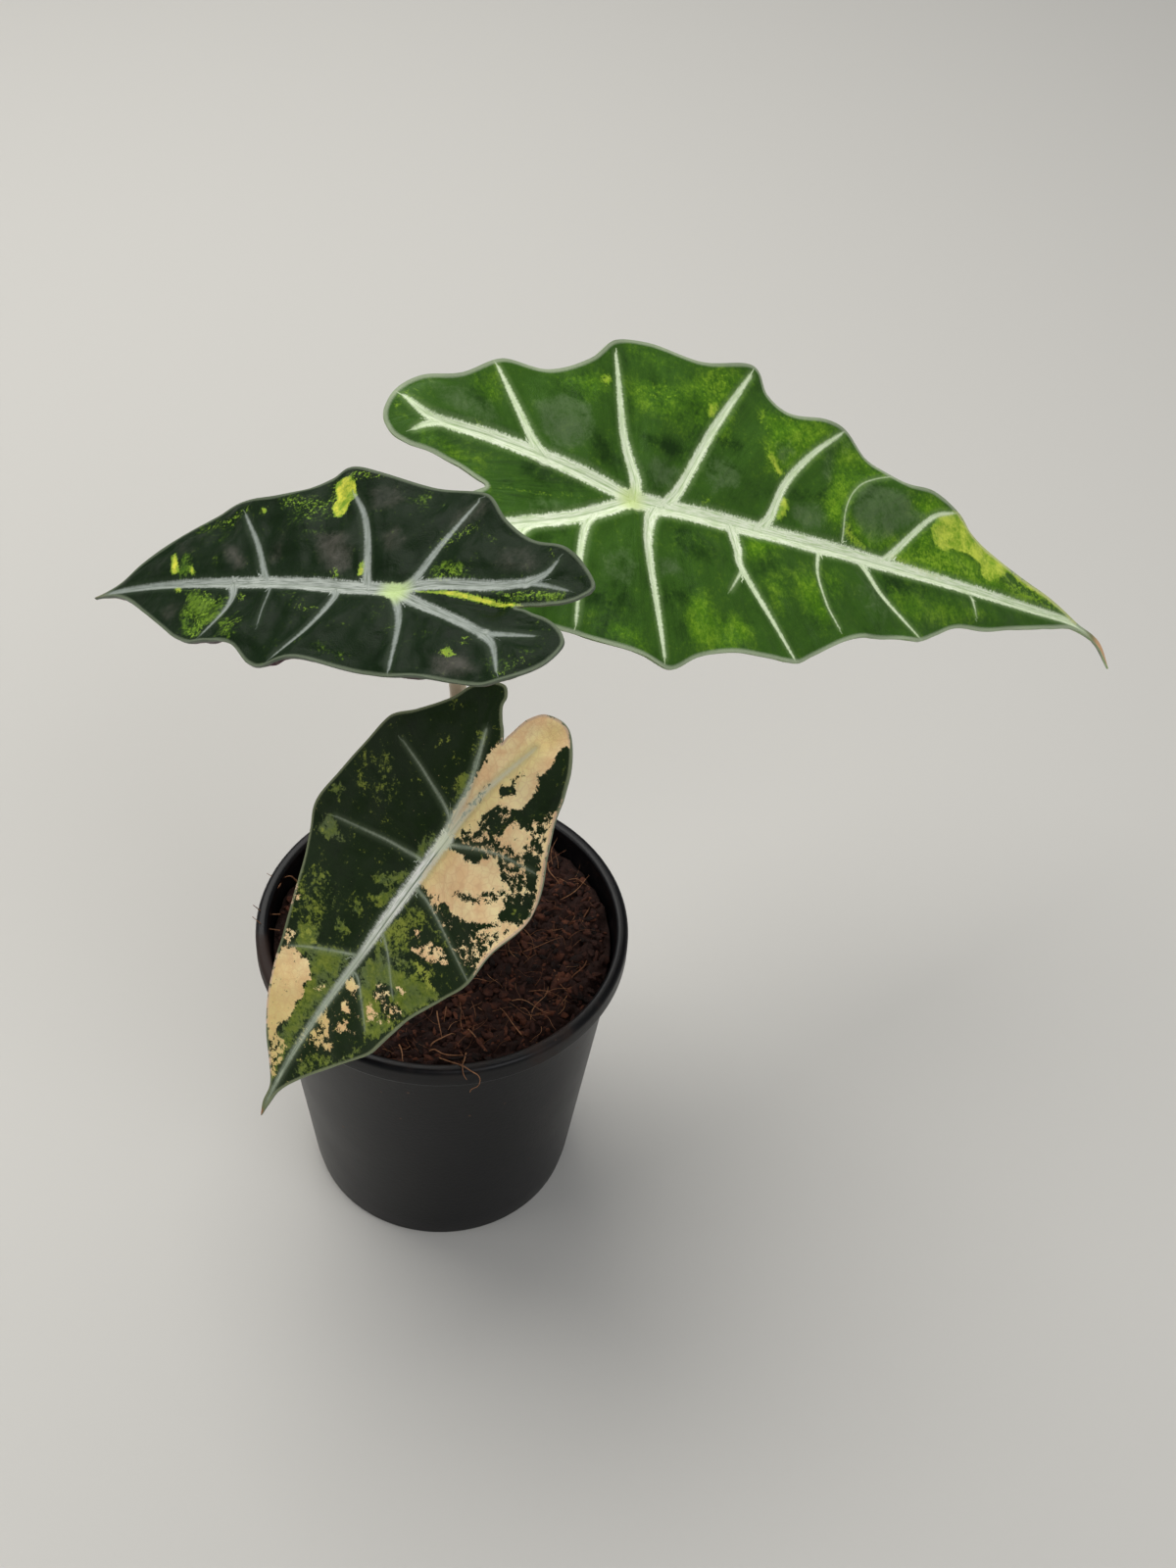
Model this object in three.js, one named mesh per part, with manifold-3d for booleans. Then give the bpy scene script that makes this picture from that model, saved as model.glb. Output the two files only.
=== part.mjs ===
// A potted aurea polly alocasia: three arrow-shaped blades on arching stalks that
// stand in coir in a round nursery pot. Millimetres, Z up. The origin is under the
// middle of the pot, X runs to the right and Y away from the front.

import * as THREE from 'three';
import { ParametricGeometry } from 'three/addons/geometries/ParametricGeometry.js';
import { mergeGeometries, mergeVertices } from 'three/addons/utils/BufferGeometryUtils.js';
import Module from 'manifold-3d';

const wasm = await Module();
wasm.setup();

const CLEARANCE = 0.3; // left between two pieces that touch
const SEED = 20417;

// pot
const POT_HEIGHT = 115;
const RIM_RADIUS = 60;
const RIM_WIDTH = 4;
const RIM_BAND = 8; // height of the rolled band under the rim
const BASE_RADIUS = 44.5;
const BODY_TOP_RADIUS = 56.4; // outside of the wall where it meets the band
const WALL = 1.3;
const FLOOR = 1.8;
const PAD_RADIUS = 30; // flat middle of the underside
const CHANNEL_RADIUS = 40; // outside of the raised channel that holds the drain holes
const CHANNEL_RISE = 2.6;
const DRAIN_HOLES = 8;
const DRAIN_RADIUS = 3.2;
const POT_SIDES = 48;

// soil
const SOIL_LEVEL = 108;
const SOIL_MOUND = 3;
const SOIL_ROUGHNESS = 0.9;
const SOIL_RINGS = 9;
const SOIL_SLACK = 0.4; // keeps the soil's flat sides off the pot's flat sides
const CHIP_COUNT = 46;
const FIBRE_COUNT = 34;
const FIBRE_RADIUS = 0.55;

// stalks
const STALK_DEPTH = 24; // how far a stalk stands in the soil
const STALK_SIDES = 12;
const STALK_STEPS = 22;
const STALK_FOOT_RADIUS = 4.3;
const STALK_TOP_RADIUS = 2.1;
const STALK_TAPER = 1.6; // above 1 the foot narrows faster than the top
const CUTTER = 60; // block that trims a stalk under its blade

// blades
const BLADE_THICKNESS = 0.8;
const RIB_DEPTH = 1.7; // how far the midrib stands out underneath at the stalk
const VEIN_DEPTH = 0.6;
const FOLD_SLOPE = 0.16; // the halves rise from the midrib like a shallow V
const FOLD_SOFTNESS = 3;
const ARCH = 0.0022; // and arch over again towards the margin
const VEIN_BOW = 0.08;
const VEIN_BOW_REACH = 40;
const LOBE_REACH = 90; // over which a lobe's vein thins out
const BROAD = 30; // a half at least this wide is quilted and waved in full
const STEPS_PER_ROW = 2;
const ACROSS = [0, 0.05, 0.3, 0.55, 0.8, 1]; // grid lines from the rib to the margin

// Each blade lies in its own frame: u runs from the stalk to the tip, v across it.
// A row of `blade` holds a point of the midrib and the margin points on its +v and
// its -v side, from the tip back to the stalk. A row of a lobe holds a point of the
// lobe's vein, then its outer and its inner margin, from the stalk to the lobe's end.
const RIGHT_LEAF = {
  name: 'leaf_right',
  color: 0x5f9440,
  stalkPoint: [54.8, 46, 252.3],
  along: [0.873, 0.239, -0.426],
  across: [-0.016, 0.886, 0.464],
  size: 1.012,
  droop: 0.0004,
  lobeDroop: 0.0018,
  quilt: 1.5,
  wave: 1.6,
  blade: [
    [209, -13, 209, -13, 209, -13],
    [205, -4, 206, -3.4, 204, -4.6],
    [193, 0, 194, 1, 192, -2],
    [172, 0, 180, 6, 178, -5],
    [152, 0, 166, 10, 161, -9],
    [132, 0, 152, 15, 145, -13],
    [114, 0, 141, 20, 130, -15],
    [97, 0, 134, 25, 119, -20],
    [88, 0, 121, 29, 110, -24],
    [79, 0, 109, 29, 97, -26],
    [69, 0, 99, 32, 87, -27],
    [58, 0, 92, 35, 76, -31],
    [47, 0, 84, 41, 65, -37],
    [37, 0, 74, 42, 57, -41],
    [28, 0, 61, 41, 44, -42],
    [20, 0, 53, 46, 32, -42],
    [12, 0, 47, 54, 21, -45],
    [6, 0, 26, 49, 10, -51],
    [3, 0, 8, 52, 0, -49],
    [0, 0, -5, 49, -9, -47],
  ],
  sides: [
    {
      sign: 1,
      veins: [7, 12, 16, 19, 22],
      lobe: [
        [0, 0, -5, 49, -47, -4],
        [-11, 3, -15, 40, -50, -2],
        [-22, 6, -27, 35, -54, 0.5],
        [-31, 8, -42, 35, -58, 2],
        [-43, 10.5, -55, 28, -63, 4],
        [-55, 12.5, -66, 26, -69, 5.5],
        [-64, 14.5, -73, 21, -74, 8.5],
        [-70, 15.5, -76, 14, -76, 14],
      ],
    },
    {
      sign: -1,
      veins: [8, 10, 13, 17, 21, 23],
      lobe: [
        [0, 0, -9, -47, -47, -4],
        [-11, -6, -20, -45, -50, -6],
        [-22, -11, -32, -44, -54, -8],
        [-34, -15, -45, -43, -58, -10.5],
        [-46, -18, -57, -41, -63, -13],
        [-57, -21, -67, -37, -68, -16],
        [-65, -23, -73, -31, -72, -20],
        [-70, -25, -74, -25, -74, -25],
      ],
    },
  ],
};

const LEFT_LEAF = {
  name: 'leaf_left',
  color: 0x222b20,
  stalkPoint: [-13.1, -25, 278.4],
  along: [-0.818, 0.464, -0.34],
  across: [0.384, 0.881, 0.277],
  size: 0.965,
  droop: 0.001,
  lobeDroop: 0.0004,
  quilt: 1.6,
  wave: 1.4,
  blade: [
    [119, -1, 119, -1, 119, -1],
    [113, 0, 113.5, 1, 113, -1],
    [105, 0, 108, 4, 108, -1.5],
    [94, 1, 103, 9, 100, -4],
    [83, 1, 96, 15, 90, -9],
    [72, 1, 88, 21, 79, -14.5],
    [63, 1, 80, 26, 70, -19],
    [55, 1, 75, 29, 62, -21.5],
    [46, 1, 69, 30, 54, -21.5],
    [36, 1, 57, 30, 45, -22],
    [26, 0.5, 48, 33, 37, -27],
    [17, 0, 41, 38, 29, -29],
    [9, 0, 35, 41, 19, -26],
    [4, 0, 21, 38, 5, -27],
    [0, 0, 3, 35, -13, -29],
  ],
  sides: [
    {
      sign: 1,
      veins: [8, 12, 15, 18],
      lobe: [
        [0, 0, 3, 35, -40, -2],
        [-7, 2, -16, 33, -43, -1.2],
        [-18, 3.5, -27, 24, -46, -0.8],
        [-29, 5, -36, 19.5, -49, 0],
        [-39, 6, -46, 18, -53, 1],
        [-47, 7.5, -54, 13.5, -57, 3],
        [-53, 8, -60, 7, -60, 7],
      ],
    },
    {
      sign: -1,
      veins: [7, 11, 14, 17],
      lobe: [
        [0, 0, -13, -29, -40, -2],
        [-11, -4, -24, -28.5, -43, -2.5],
        [-21, -7.5, -33, -28, -46, -3.5],
        [-32, -11, -43, -28, -50, -4.5],
        [-41, -13.5, -50, -25, -54, -6.5],
        [-48, -14.5, -56, -20, -58, -10],
        [-54, -14.5, -59, -14, -59, -14],
      ],
    },
  ],
};

const FRONT_LEAF = {
  name: 'leaf_front',
  color: 0x39452c,
  stalkPoint: [0, -40, 197.3],
  along: [-0.55, -0.278, -0.788],
  across: [-0.647, 0.738, 0.191],
  size: 1,
  droop: 0.0008,
  lobeDroop: 0.0003,
  quilt: 1.5,
  wave: 1.4,
  blade: [
    [112, -2, 112, -2, 112, -2],
    [107, -1, 107.5, 0, 107, -2],
    [99, 0, 101, 1, 101, -2.5],
    [89, 0, 95, 5, 94, -5],
    [78, 0.5, 88, 11, 86, -9],
    [67, 0.5, 79, 17, 77, -14],
    [57, 0, 70, 21, 70, -18],
    [49, 0, 65, 22.5, 64, -21],
    [43, 0, 59, 23.5, 55, -23],
    [34, 0, 49, 26, 45, -25],
    [24, 0, 37, 31, 34, -29],
    [15, 0, 28, 36, 24, -32.5],
    [7, 0, 20, 39, 11, -33],
    [3, 0, 8, 38, -2, -35],
    [0, 0, -3, 38, -14, -32],
  ],
  sides: [
    {
      sign: 1,
      veins: [8, 12, 15, 18],
      lobe: [
        [0, 0, -3, 38, -34, 4],
        [-8, 3, -16, 36, -35, 4.5],
        [-16, 5, -24, 30, -37, 6],
        [-24, 7, -33, 24.5, -39, 8],
        [-31, 9.5, -40, 21.5, -42, 10.3],
        [-38, 12, -45, 17.5, -45, 11],
        [-43, 14, -47, 13.5, -47, 13.5],
      ],
    },
    {
      sign: -1,
      veins: [7, 11, 14, 17],
      lobe: [
        [0, 0, -14, -32, -34, 4],
        [-8, -1, -22, -28, -36, 4],
        [-17, -2, -29, -23, -39, 3.5],
        [-26, -3, -36, -21, -42, 3],
        [-34, -4.5, -43, -18, -45, 2],
        [-42, -6, -49, -12, -49, -1],
        [-47, -7, -51, -7, -51, -7],
      ],
    },
  ],
};

// each stalk's route above the soil, up to the blade that it carries
const STALKS = [
  {
    name: 'petiole_right',
    color: 0xb9b57c,
    leaf: RIGHT_LEAF,
    foot: [12, 8],
    route: [[12, 9, 155], [11, 12, 187], [13, 16, 210], [23, 24, 229], [37, 35, 243]],
  },
  {
    name: 'petiole_left',
    color: 0xcdbb9a,
    leaf: LEFT_LEAF,
    foot: [0, 10],
    route: [[2, 8, 155], [3.8, 3, 195], [4, -5, 224], [0, -14, 252]],
  },
  {
    name: 'petiole_front',
    color: 0xb7ab86,
    leaf: FRONT_LEAF,
    foot: [2, -7],
    route: [[5, -9, 143], [6, -17, 169], [4, -28, 187]],
  },
];

// coir fibres that stand out plainly: foot x, y, then length, heading in degrees,
// rise at the foot in degrees, and how far they bend down again
const PLAIN_FIBRES = [
  [-44, 12, 28, 165, 72, 60],
  [-45, 2, 30, 190, 74, 62],
  [-38, 24, 20, 80, 62, 30],
  [34, 34, 16, 290, 40, 40],
  [44, 14, 14, 250, 36, 44],
  [40, -20, 18, 60, 32, 40],
  [16, -36, 16, 340, 34, 42],
  [0, -34, 14, 275, 42, 52],
  [10, -45, 30, 268, 74, 62],
  [6, -45, 27, 258, 72, 66],
  [-26, 36, 18, 20, 40, 44],
];

const { PI, abs, cos, hypot, max, min, sin, sqrt } = Math;

function lerp(a, b, t) {
  return a + (b - a) * t;
}

function seededRandom(seed) {
  let state = seed;
  return () => {
    state = (state * 1664525 + 1013904223) % 4294967296;
    return state / 4294967296;
  };
}

// A closed shell as a manifold solid: coincident points joined, slivers dropped.
function toSolid(geometry) {
  const bare = geometry.clone();
  bare.deleteAttribute('normal');
  bare.deleteAttribute('uv');
  const joined = mergeVertices(bare, 1e-3);
  const corners = joined.index.array;
  const kept = [];
  for (let i = 0; i < corners.length; i += 3) {
    const [a, b, c] = [corners[i], corners[i + 1], corners[i + 2]];
    if (a !== b && b !== c && c !== a) kept.push(a, b, c);
  }
  return new wasm.Manifold(new wasm.Mesh({
    numProp: 3,
    vertProperties: Float32Array.from(joined.attributes.position.array),
    triVerts: Uint32Array.from(kept),
  }));
}

function toMesh(name, color, roughness, solid) {
  const shell = solid.getMesh();
  const geometry = new THREE.BufferGeometry();
  geometry.setAttribute('position', new THREE.BufferAttribute(shell.vertProperties, 3));
  geometry.setIndex(new THREE.BufferAttribute(shell.triVerts, 1));
  geometry.computeVertexNormals();
  const material = new THREE.MeshStandardMaterial({ color, roughness, metalness: 0 });
  const mesh = new THREE.Mesh(geometry, material);
  mesh.name = name;
  return mesh;
}

// A grid surface of place(s, t). Swapping s and t turns its face over.
function sheet(place, columns, rows, turned) {
  const fill = (s, t, target) => target.set(...(turned ? place(t, s) : place(s, t)));
  return turned
    ? new ParametricGeometry(fill, rows, columns)
    : new ParametricGeometry(fill, columns, rows);
}

function bladeFrame(leaf) {
  const along = new THREE.Vector3(...leaf.along).normalize();
  const across = new THREE.Vector3(...leaf.across);
  across.addScaledVector(along, -across.dot(along)).normalize();
  const up = new THREE.Vector3().crossVectors(along, across);
  if (up.z < 0) up.negate();
  return { along, across, up };
}

// The frame as a matrix. A left-handed one is given by mirroring v.
function bladeMatrix(leaf) {
  const { along, across, up } = bladeFrame(leaf);
  return new THREE.Matrix4().makeBasis(along, across, up).setPosition(...leaf.stalkPoint);
}

function curveOf(points, size) {
  const places = points.map(([u, v]) => new THREE.Vector3(u * size, v * size, 0));
  return new THREE.CatmullRomCurve3(places, false, 'catmullrom', 0.5);
}

// The height of the blade's middle form over its flat frame.
function bladeHeight(leaf, u, v) {
  const sag = u > 0 ? leaf.droop : leaf.lobeDroop;
  const fold = sqrt(v * v + FOLD_SOFTNESS * FOLD_SOFTNESS) - FOLD_SOFTNESS;
  return FOLD_SLOPE * fold - ARCH * v * v - sag * u * u;
}

// Where s lies between the two veins that enclose it, from 0 to 1.
function bayPhase(veins, s, last) {
  const marks = [0, ...veins, last];
  let i = 0;
  while (i < marks.length - 2 && s > marks[i + 1]) i += 1;
  return (s - marks[i]) / (marks[i + 1] - marks[i]);
}

function bladeHalf(leaf, side) {
  const bladeRows = leaf.blade.length - 1;
  const lobeRows = side.lobe.length - 1;
  const last = bladeRows + lobeRows;
  const first = side.sign > 0 ? 2 : 4;
  const midrib = curveOf(leaf.blade.map((row) => [row[0], row[1]]), leaf.size);
  const lobeVein = curveOf(side.lobe.map((row) => [row[0], row[1]]), leaf.size);
  const outerMargin = curveOf([
    ...leaf.blade.map((row) => [row[first], row[first + 1]]),
    ...side.lobe.slice(1).map((row) => [row[2], row[3]]),
  ], leaf.size);
  const innerMargin = curveOf(side.lobe.map((row) => [row[4], row[5]]), leaf.size);
  const length = leaf.blade[0][0] * leaf.size;

  const ribAt = (s) => (s <= bladeRows
    ? midrib.getPoint(s / bladeRows)
    : lobeVein.getPoint((s - bladeRows) / lobeRows));

  const ribThickness = (u, v) => {
    const out = u > 0 ? u / length : hypot(u, v) / LOBE_REACH;
    return RIB_DEPTH * max(0.2, 1 - out);
  };

  // both give u, v, the height of the upper face and the thickness there
  const outer = (s, t) => {
    const rib = ribAt(s);
    const margin = outerMargin.getPoint(s / last);
    const width = hypot(margin.x - rib.x, margin.y - rib.y);
    const bow = VEIN_BOW * min(1, max(0, rib.x / VEIN_BOW_REACH)) * 4 * t * (1 - t) * width;
    const u = lerp(rib.x, margin.x, t) - bow;
    const v = lerp(rib.y, margin.y, t);
    const phase = bayPhase(side.veins, s, last);
    const size = min(1, width / BROAD);
    const puff = leaf.quilt * size * sin(PI * phase) ** 2 * sin(PI * min(1, t * 1.15)) ** 0.8;
    const ripple = leaf.wave * size * t ** 3 * sin(2 * PI * phase);
    const onVein = side.veins.some((row) => abs(row - s) < 1e-6);
    let thickness = BLADE_THICKNESS;
    if (t === 0) thickness += ribThickness(rib.x, rib.y);
    else if (onVein) thickness += VEIN_DEPTH * (1 - t);
    return [u, v, bladeHeight(leaf, u, v) + puff + ripple, thickness];
  };

  const inner = (s, t) => {
    const rib = lobeVein.getPoint(s / lobeRows);
    const margin = innerMargin.getPoint(s / lobeRows);
    const u = lerp(rib.x, margin.x, t);
    const v = lerp(rib.y, margin.y, t);
    const thickness = BLADE_THICKNESS + (t === 0 ? ribThickness(rib.x, rib.y) : 0);
    return [u, v, bladeHeight(leaf, u, v), thickness];
  };

  return [
    { at: outer, rows: last, turned: side.sign > 0 },
    { at: inner, rows: lobeRows, turned: side.sign < 0 },
  ];
}

// One blade: an upper face, a lower face split alike, and the edge between them.
function bladeSolid(leaf) {
  const mirrored = bladeMatrix(leaf).determinant() < 0;
  const lines = ACROSS.length - 1;
  const shells = [];
  for (const side of leaf.sides) {
    for (const { at, rows, turned } of bladeHalf(leaf, side)) {
      const columns = rows * STEPS_PER_ROW;
      const level = (share) => (i, j) => {
        const s = i * rows;
        const [u, v, height, thickness] = at(s, ACROSS[Math.round(j * lines)]);
        return [u, v, height - share * thickness];
      };
      const edge = (i, j) => {
        const [u, v, height, thickness] = at(i * rows, 1);
        return [u, v, height - j * thickness];
      };
      const faceUp = turned !== mirrored;
      shells.push(sheet(level(0), columns, lines, faceUp));
      shells.push(sheet(level(1), columns, lines, !faceUp));
      shells.push(sheet(edge, columns, 1, faceUp));
    }
  }
  const shell = mergeGeometries(shells);
  shell.applyMatrix4(bladeMatrix(leaf));
  return toSolid(shell);
}

function leafMesh(leaf) {
  return toMesh(leaf.name, leaf.color, 0.45, bladeSolid(leaf));
}

// A stalk as a swept round section, thick and sheathing at its foot, cut off
// parallel to the blade just under the midrib.
function stalkMesh({ name, color, leaf, foot, route }) {
  const ground = SOIL_LEVEL - STALK_DEPTH;
  const path = new THREE.CatmullRomCurve3([
    new THREE.Vector3(foot[0], foot[1], ground),
    new THREE.Vector3(foot[0], foot[1], SOIL_LEVEL + 4),
    ...route.map((point) => new THREE.Vector3(...point)),
    new THREE.Vector3(...leaf.stalkPoint),
  ], false, 'centripetal');
  const frames = path.computeFrenetFrames(STALK_STEPS, false);
  const rings = STALK_STEPS + 2; // one more at either end, drawn in to a point
  const place = (i, j) => {
    const ring = Math.round(i * rings);
    const step = min(STALK_STEPS, max(0, ring - 1));
    const along = step / STALK_STEPS;
    const centre = path.getPointAt(along);
    const closed = ring === 0 || ring === rings;
    const sheath = STALK_FOOT_RADIUS - STALK_TOP_RADIUS;
    const radius = closed ? 0 : STALK_TOP_RADIUS + sheath * (1 - along) ** STALK_TAPER;
    const turn = 2 * PI * (j % 1);
    const offset = frames.normals[step].clone().multiplyScalar(radius * cos(turn));
    offset.addScaledVector(frames.binormals[step], radius * sin(turn));
    return centre.add(offset).toArray();
  };
  const stalk = toSolid(sheet(place, rings, STALK_SIDES, true));

  const cutDepth = BLADE_THICKNESS + RIB_DEPTH + CLEARANCE;
  const cutter = new THREE.BoxGeometry(CUTTER, CUTTER, CUTTER);
  cutter.translate(0, 0, CUTTER / 2 - cutDepth);
  const { along, across, up } = bladeFrame(leaf);
  const turned = new THREE.Matrix4().makeBasis(along, up.clone().cross(along), up);
  turned.setPosition(...leaf.stalkPoint);
  cutter.applyMatrix4(turned);
  return toMesh(name, color, 0.5, stalk.subtract(toSolid(cutter)));
}

function lathe(outline, sides) {
  const profile = outline.map(([radius, height]) => new THREE.Vector2(radius, height));
  const turned = new THREE.LatheGeometry(profile, sides);
  turned.rotateX(PI / 2);
  return turned;
}

// outside radius of the pot's wall at a height
function wallRadius(height) {
  return lerp(BASE_RADIUS, BODY_TOP_RADIUS, height / (POT_HEIGHT - RIM_BAND));
}

function potMesh() {
  const bandFoot = POT_HEIGHT - RIM_BAND;
  const innerRim = RIM_RADIUS - RIM_WIDTH;
  const outline = [
    [0, 0],
    [PAD_RADIUS, 0],
    [PAD_RADIUS + 2, CHANNEL_RISE],
    [CHANNEL_RADIUS - 1, CHANNEL_RISE],
    [CHANNEL_RADIUS + 0.5, 0],
    [BASE_RADIUS - 0.8, 0],
    [BASE_RADIUS, 1],
    [BODY_TOP_RADIUS, bandFoot],
    [RIM_RADIUS - 1.6, bandFoot + 0.6],
    [RIM_RADIUS - 0.4, bandFoot + 1.8],
    [RIM_RADIUS, bandFoot + 4],
    [RIM_RADIUS, POT_HEIGHT - 1.8],
    [RIM_RADIUS - 0.7, POT_HEIGHT - 0.5],
    [RIM_RADIUS - 2, POT_HEIGHT],
    [innerRim + 0.8, POT_HEIGHT - 0.5],
    [innerRim, POT_HEIGHT - 1.8],
    [innerRim - 0.4, bandFoot],
    [wallRadius(CHANNEL_RISE + FLOOR) - WALL, CHANNEL_RISE + FLOOR],
    [PAD_RADIUS + 1, CHANNEL_RISE + FLOOR],
    [PAD_RADIUS - 1, FLOOR],
    [0, FLOOR],
  ];
  let pot = toSolid(lathe(outline, POT_SIDES));
  const holeCircle = (PAD_RADIUS + CHANNEL_RADIUS) / 2 + 0.5;
  for (let i = 0; i < DRAIN_HOLES; i += 1) {
    const turn = (2 * PI * i) / DRAIN_HOLES;
    const hole = new THREE.CylinderGeometry(DRAIN_RADIUS, DRAIN_RADIUS, 12, 12);
    hole.rotateX(PI / 2);
    hole.translate(holeCircle * cos(turn), holeCircle * sin(turn), CHANNEL_RISE);
    pot = pot.subtract(toSolid(hole));
  }
  return toMesh('pot', 0x191a1c, 0.42, pot);
}

function soilHeight(x, y) {
  const out = hypot(x, y) / RIM_RADIUS;
  const mound = SOIL_MOUND * (1 - out * out);
  const lumps = sin(x * 0.31 + 1.2) * cos(y * 0.27 - 0.5) + 0.6 * sin(x * 0.63 - y * 0.55);
  return SOIL_LEVEL - 2 + mound + SOIL_ROUGHNESS * lumps;
}

// A bark or coir crumb: a low polyhedron squashed and turned at random.
function chip(random) {
  const radius = 44 * sqrt(random()) + 4;
  const heading = 2 * PI * random();
  const size = 1.6 + 2.6 * random();
  const shape = new THREE.IcosahedronGeometry(size, 0);
  shape.scale(1, 0.65 + 0.3 * random(), 0.5);
  shape.rotateX(0.5 * (random() - 0.5));
  shape.rotateZ(2 * PI * random());
  const [x, y] = [radius * cos(heading), radius * sin(heading)];
  shape.translate(x, y, soilHeight(x, y) - 0.25 * size);
  return toSolid(shape);
}

// A thin fibre: a few straight lengths that rise from the soil and bend over.
function fibre([x, y, length, heading, rise, bend]) {
  const steps = 5;
  const turn = THREE.MathUtils.degToRad(heading);
  const points = [new THREE.Vector3(x, y, soilHeight(x, y) - 3)];
  points.push(new THREE.Vector3(x, y, soilHeight(x, y)));
  for (let i = 0; i < steps; i += 1) {
    const pitch = THREE.MathUtils.degToRad(rise - (bend * 2 * i) / steps);
    const stride = length / steps;
    const forward = new THREE.Vector3(cos(turn) * cos(pitch), sin(turn) * cos(pitch), sin(pitch));
    points.push(points[points.length - 1].clone().addScaledVector(forward, stride));
  }
  const path = new THREE.CatmullRomCurve3(points, false, 'centripetal');
  const section = new THREE.Shape();
  section.absarc(0, 0, FIBRE_RADIUS, 0, 2 * PI, false);
  const settings = { steps: 5, bevelEnabled: false, extrudePath: path, curveSegments: 2 };
  return toSolid(new THREE.ExtrudeGeometry(section, settings));
}

function soilMesh() {
  const random = seededRandom(SEED);
  const floorHeight = CHANNEL_RISE + FLOOR + CLEARANCE;
  const sideGap = WALL + CLEARANCE + SOIL_SLACK;
  const topRadius = wallRadius(SOIL_LEVEL - SOIL_MOUND) - sideGap;
  const outline = [[0, floorHeight], [wallRadius(floorHeight) - sideGap, floorHeight]];
  for (let i = SOIL_RINGS; i >= 0; i -= 1) outline.push([(topRadius * i) / SOIL_RINGS, SOIL_LEVEL]);
  const body = lathe(outline, POT_SIDES);
  const places = body.attributes.position;
  for (let i = 0; i < places.count; i += 1) {
    if (places.getZ(i) > SOIL_LEVEL - 1) {
      places.setZ(i, soilHeight(places.getX(i), places.getY(i)));
    }
  }
  let soil = toSolid(body);
  for (let i = 0; i < CHIP_COUNT; i += 1) soil = soil.add(chip(random));
  for (const plain of PLAIN_FIBRES) soil = soil.add(fibre(plain));
  for (let i = 0; i < FIBRE_COUNT; i += 1) {
    const radius = 14 + 32 * random();
    const heading = 2 * PI * random();
    const place = [radius * cos(heading), radius * sin(heading)];
    soil = soil.add(fibre([...place, 8 + 10 * random(), 360 * random(), 30 + 20 * random(), 45]));
  }
  for (const { foot } of STALKS) {
    const bore = STALK_FOOT_RADIUS + CLEARANCE;
    const depth = STALK_DEPTH + CLEARANCE;
    const hole = new THREE.CylinderGeometry(bore, bore, 60, 24);
    hole.rotateX(PI / 2);
    hole.translate(foot[0], foot[1], SOIL_LEVEL - depth + 30);
    soil = soil.subtract(toSolid(hole));
  }
  return toMesh('soil', 0x3d2a20, 0.95, soil);
}

const plant = new THREE.Group();
plant.name = 'potted_alocasia';
plant.add(potMesh());
plant.add(soilMesh());
for (const stalk of STALKS) plant.add(stalkMesh(stalk));
for (const leaf of [RIGHT_LEAF, LEFT_LEAF, FRONT_LEAF]) plant.add(leafMesh(leaf));

export default plant;
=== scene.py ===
from math import cos, pi, radians, sin
from random import Random

import bpy
import numpy as np
from mathutils import Matrix, Vector


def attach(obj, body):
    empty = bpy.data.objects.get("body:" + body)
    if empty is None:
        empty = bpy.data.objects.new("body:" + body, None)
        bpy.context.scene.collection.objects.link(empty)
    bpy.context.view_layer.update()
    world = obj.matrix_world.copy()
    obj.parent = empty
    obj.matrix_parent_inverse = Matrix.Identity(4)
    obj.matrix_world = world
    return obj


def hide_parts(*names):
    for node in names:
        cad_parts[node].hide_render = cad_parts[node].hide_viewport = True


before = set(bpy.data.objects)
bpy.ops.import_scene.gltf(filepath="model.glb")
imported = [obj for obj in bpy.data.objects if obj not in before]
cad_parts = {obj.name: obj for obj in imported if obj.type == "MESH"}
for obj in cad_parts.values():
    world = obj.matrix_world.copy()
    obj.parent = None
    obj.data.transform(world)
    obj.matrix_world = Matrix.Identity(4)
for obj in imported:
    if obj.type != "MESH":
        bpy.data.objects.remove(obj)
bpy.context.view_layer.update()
mm = 0.001
print("frame loaded:", sorted(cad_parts))


def clearSelection():
    bpy.ops.object.select_all(action="DESELECT")


def pick(pieces):
    clearSelection()
    for piece in pieces:
        piece.select_set(True)
    bpy.context.view_layer.objects.active = pieces[0]


def inEditMode(piece, work):
    pick([piece])
    bpy.ops.object.mode_set(mode="EDIT")
    bpy.ops.mesh.select_all(action="SELECT")
    work()
    bpy.ops.object.mode_set(mode="OBJECT")


def closeUp(piece, gap=0.002):
    # coincident points become one, then all faces are turned outwards
    def work():
        bpy.ops.mesh.remove_doubles(threshold=gap * mm)
        bpy.ops.mesh.dissolve_degenerate(threshold=gap * mm)
        bpy.ops.mesh.select_all(action="SELECT")
        bpy.ops.mesh.normals_make_consistent(inside=False)
    inEditMode(piece, work)


def called(piece, name):
    piece.name = name
    piece.data.name = name
    return piece


def joinPieces(pieces, name):
    pick(pieces)
    bpy.ops.object.join()
    return called(bpy.context.object, name)


def readPoints(piece):
    places = np.empty(len(piece.data.vertices) * 3)
    piece.data.vertices.foreach_get("co", places)
    return places.reshape(-1, 3)


def setPoints(piece, places):
    piece.data.vertices.foreach_set("co", np.asarray(places, float).ravel())
    piece.data.update()


def giveField(piece, name, values):
    # a value or a vector on every point, for the finish to read
    values = np.asarray(values, float)
    plain = values.ndim == 1
    field = piece.data.attributes.new(name, "FLOAT" if plain else "FLOAT_VECTOR", "POINT")
    field.data.foreach_set("value" if plain else "vector", values.ravel())


def wear(piece, *finishes):
    piece.data.materials.clear()
    for finish in finishes:
        piece.data.materials.append(finish)


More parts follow.
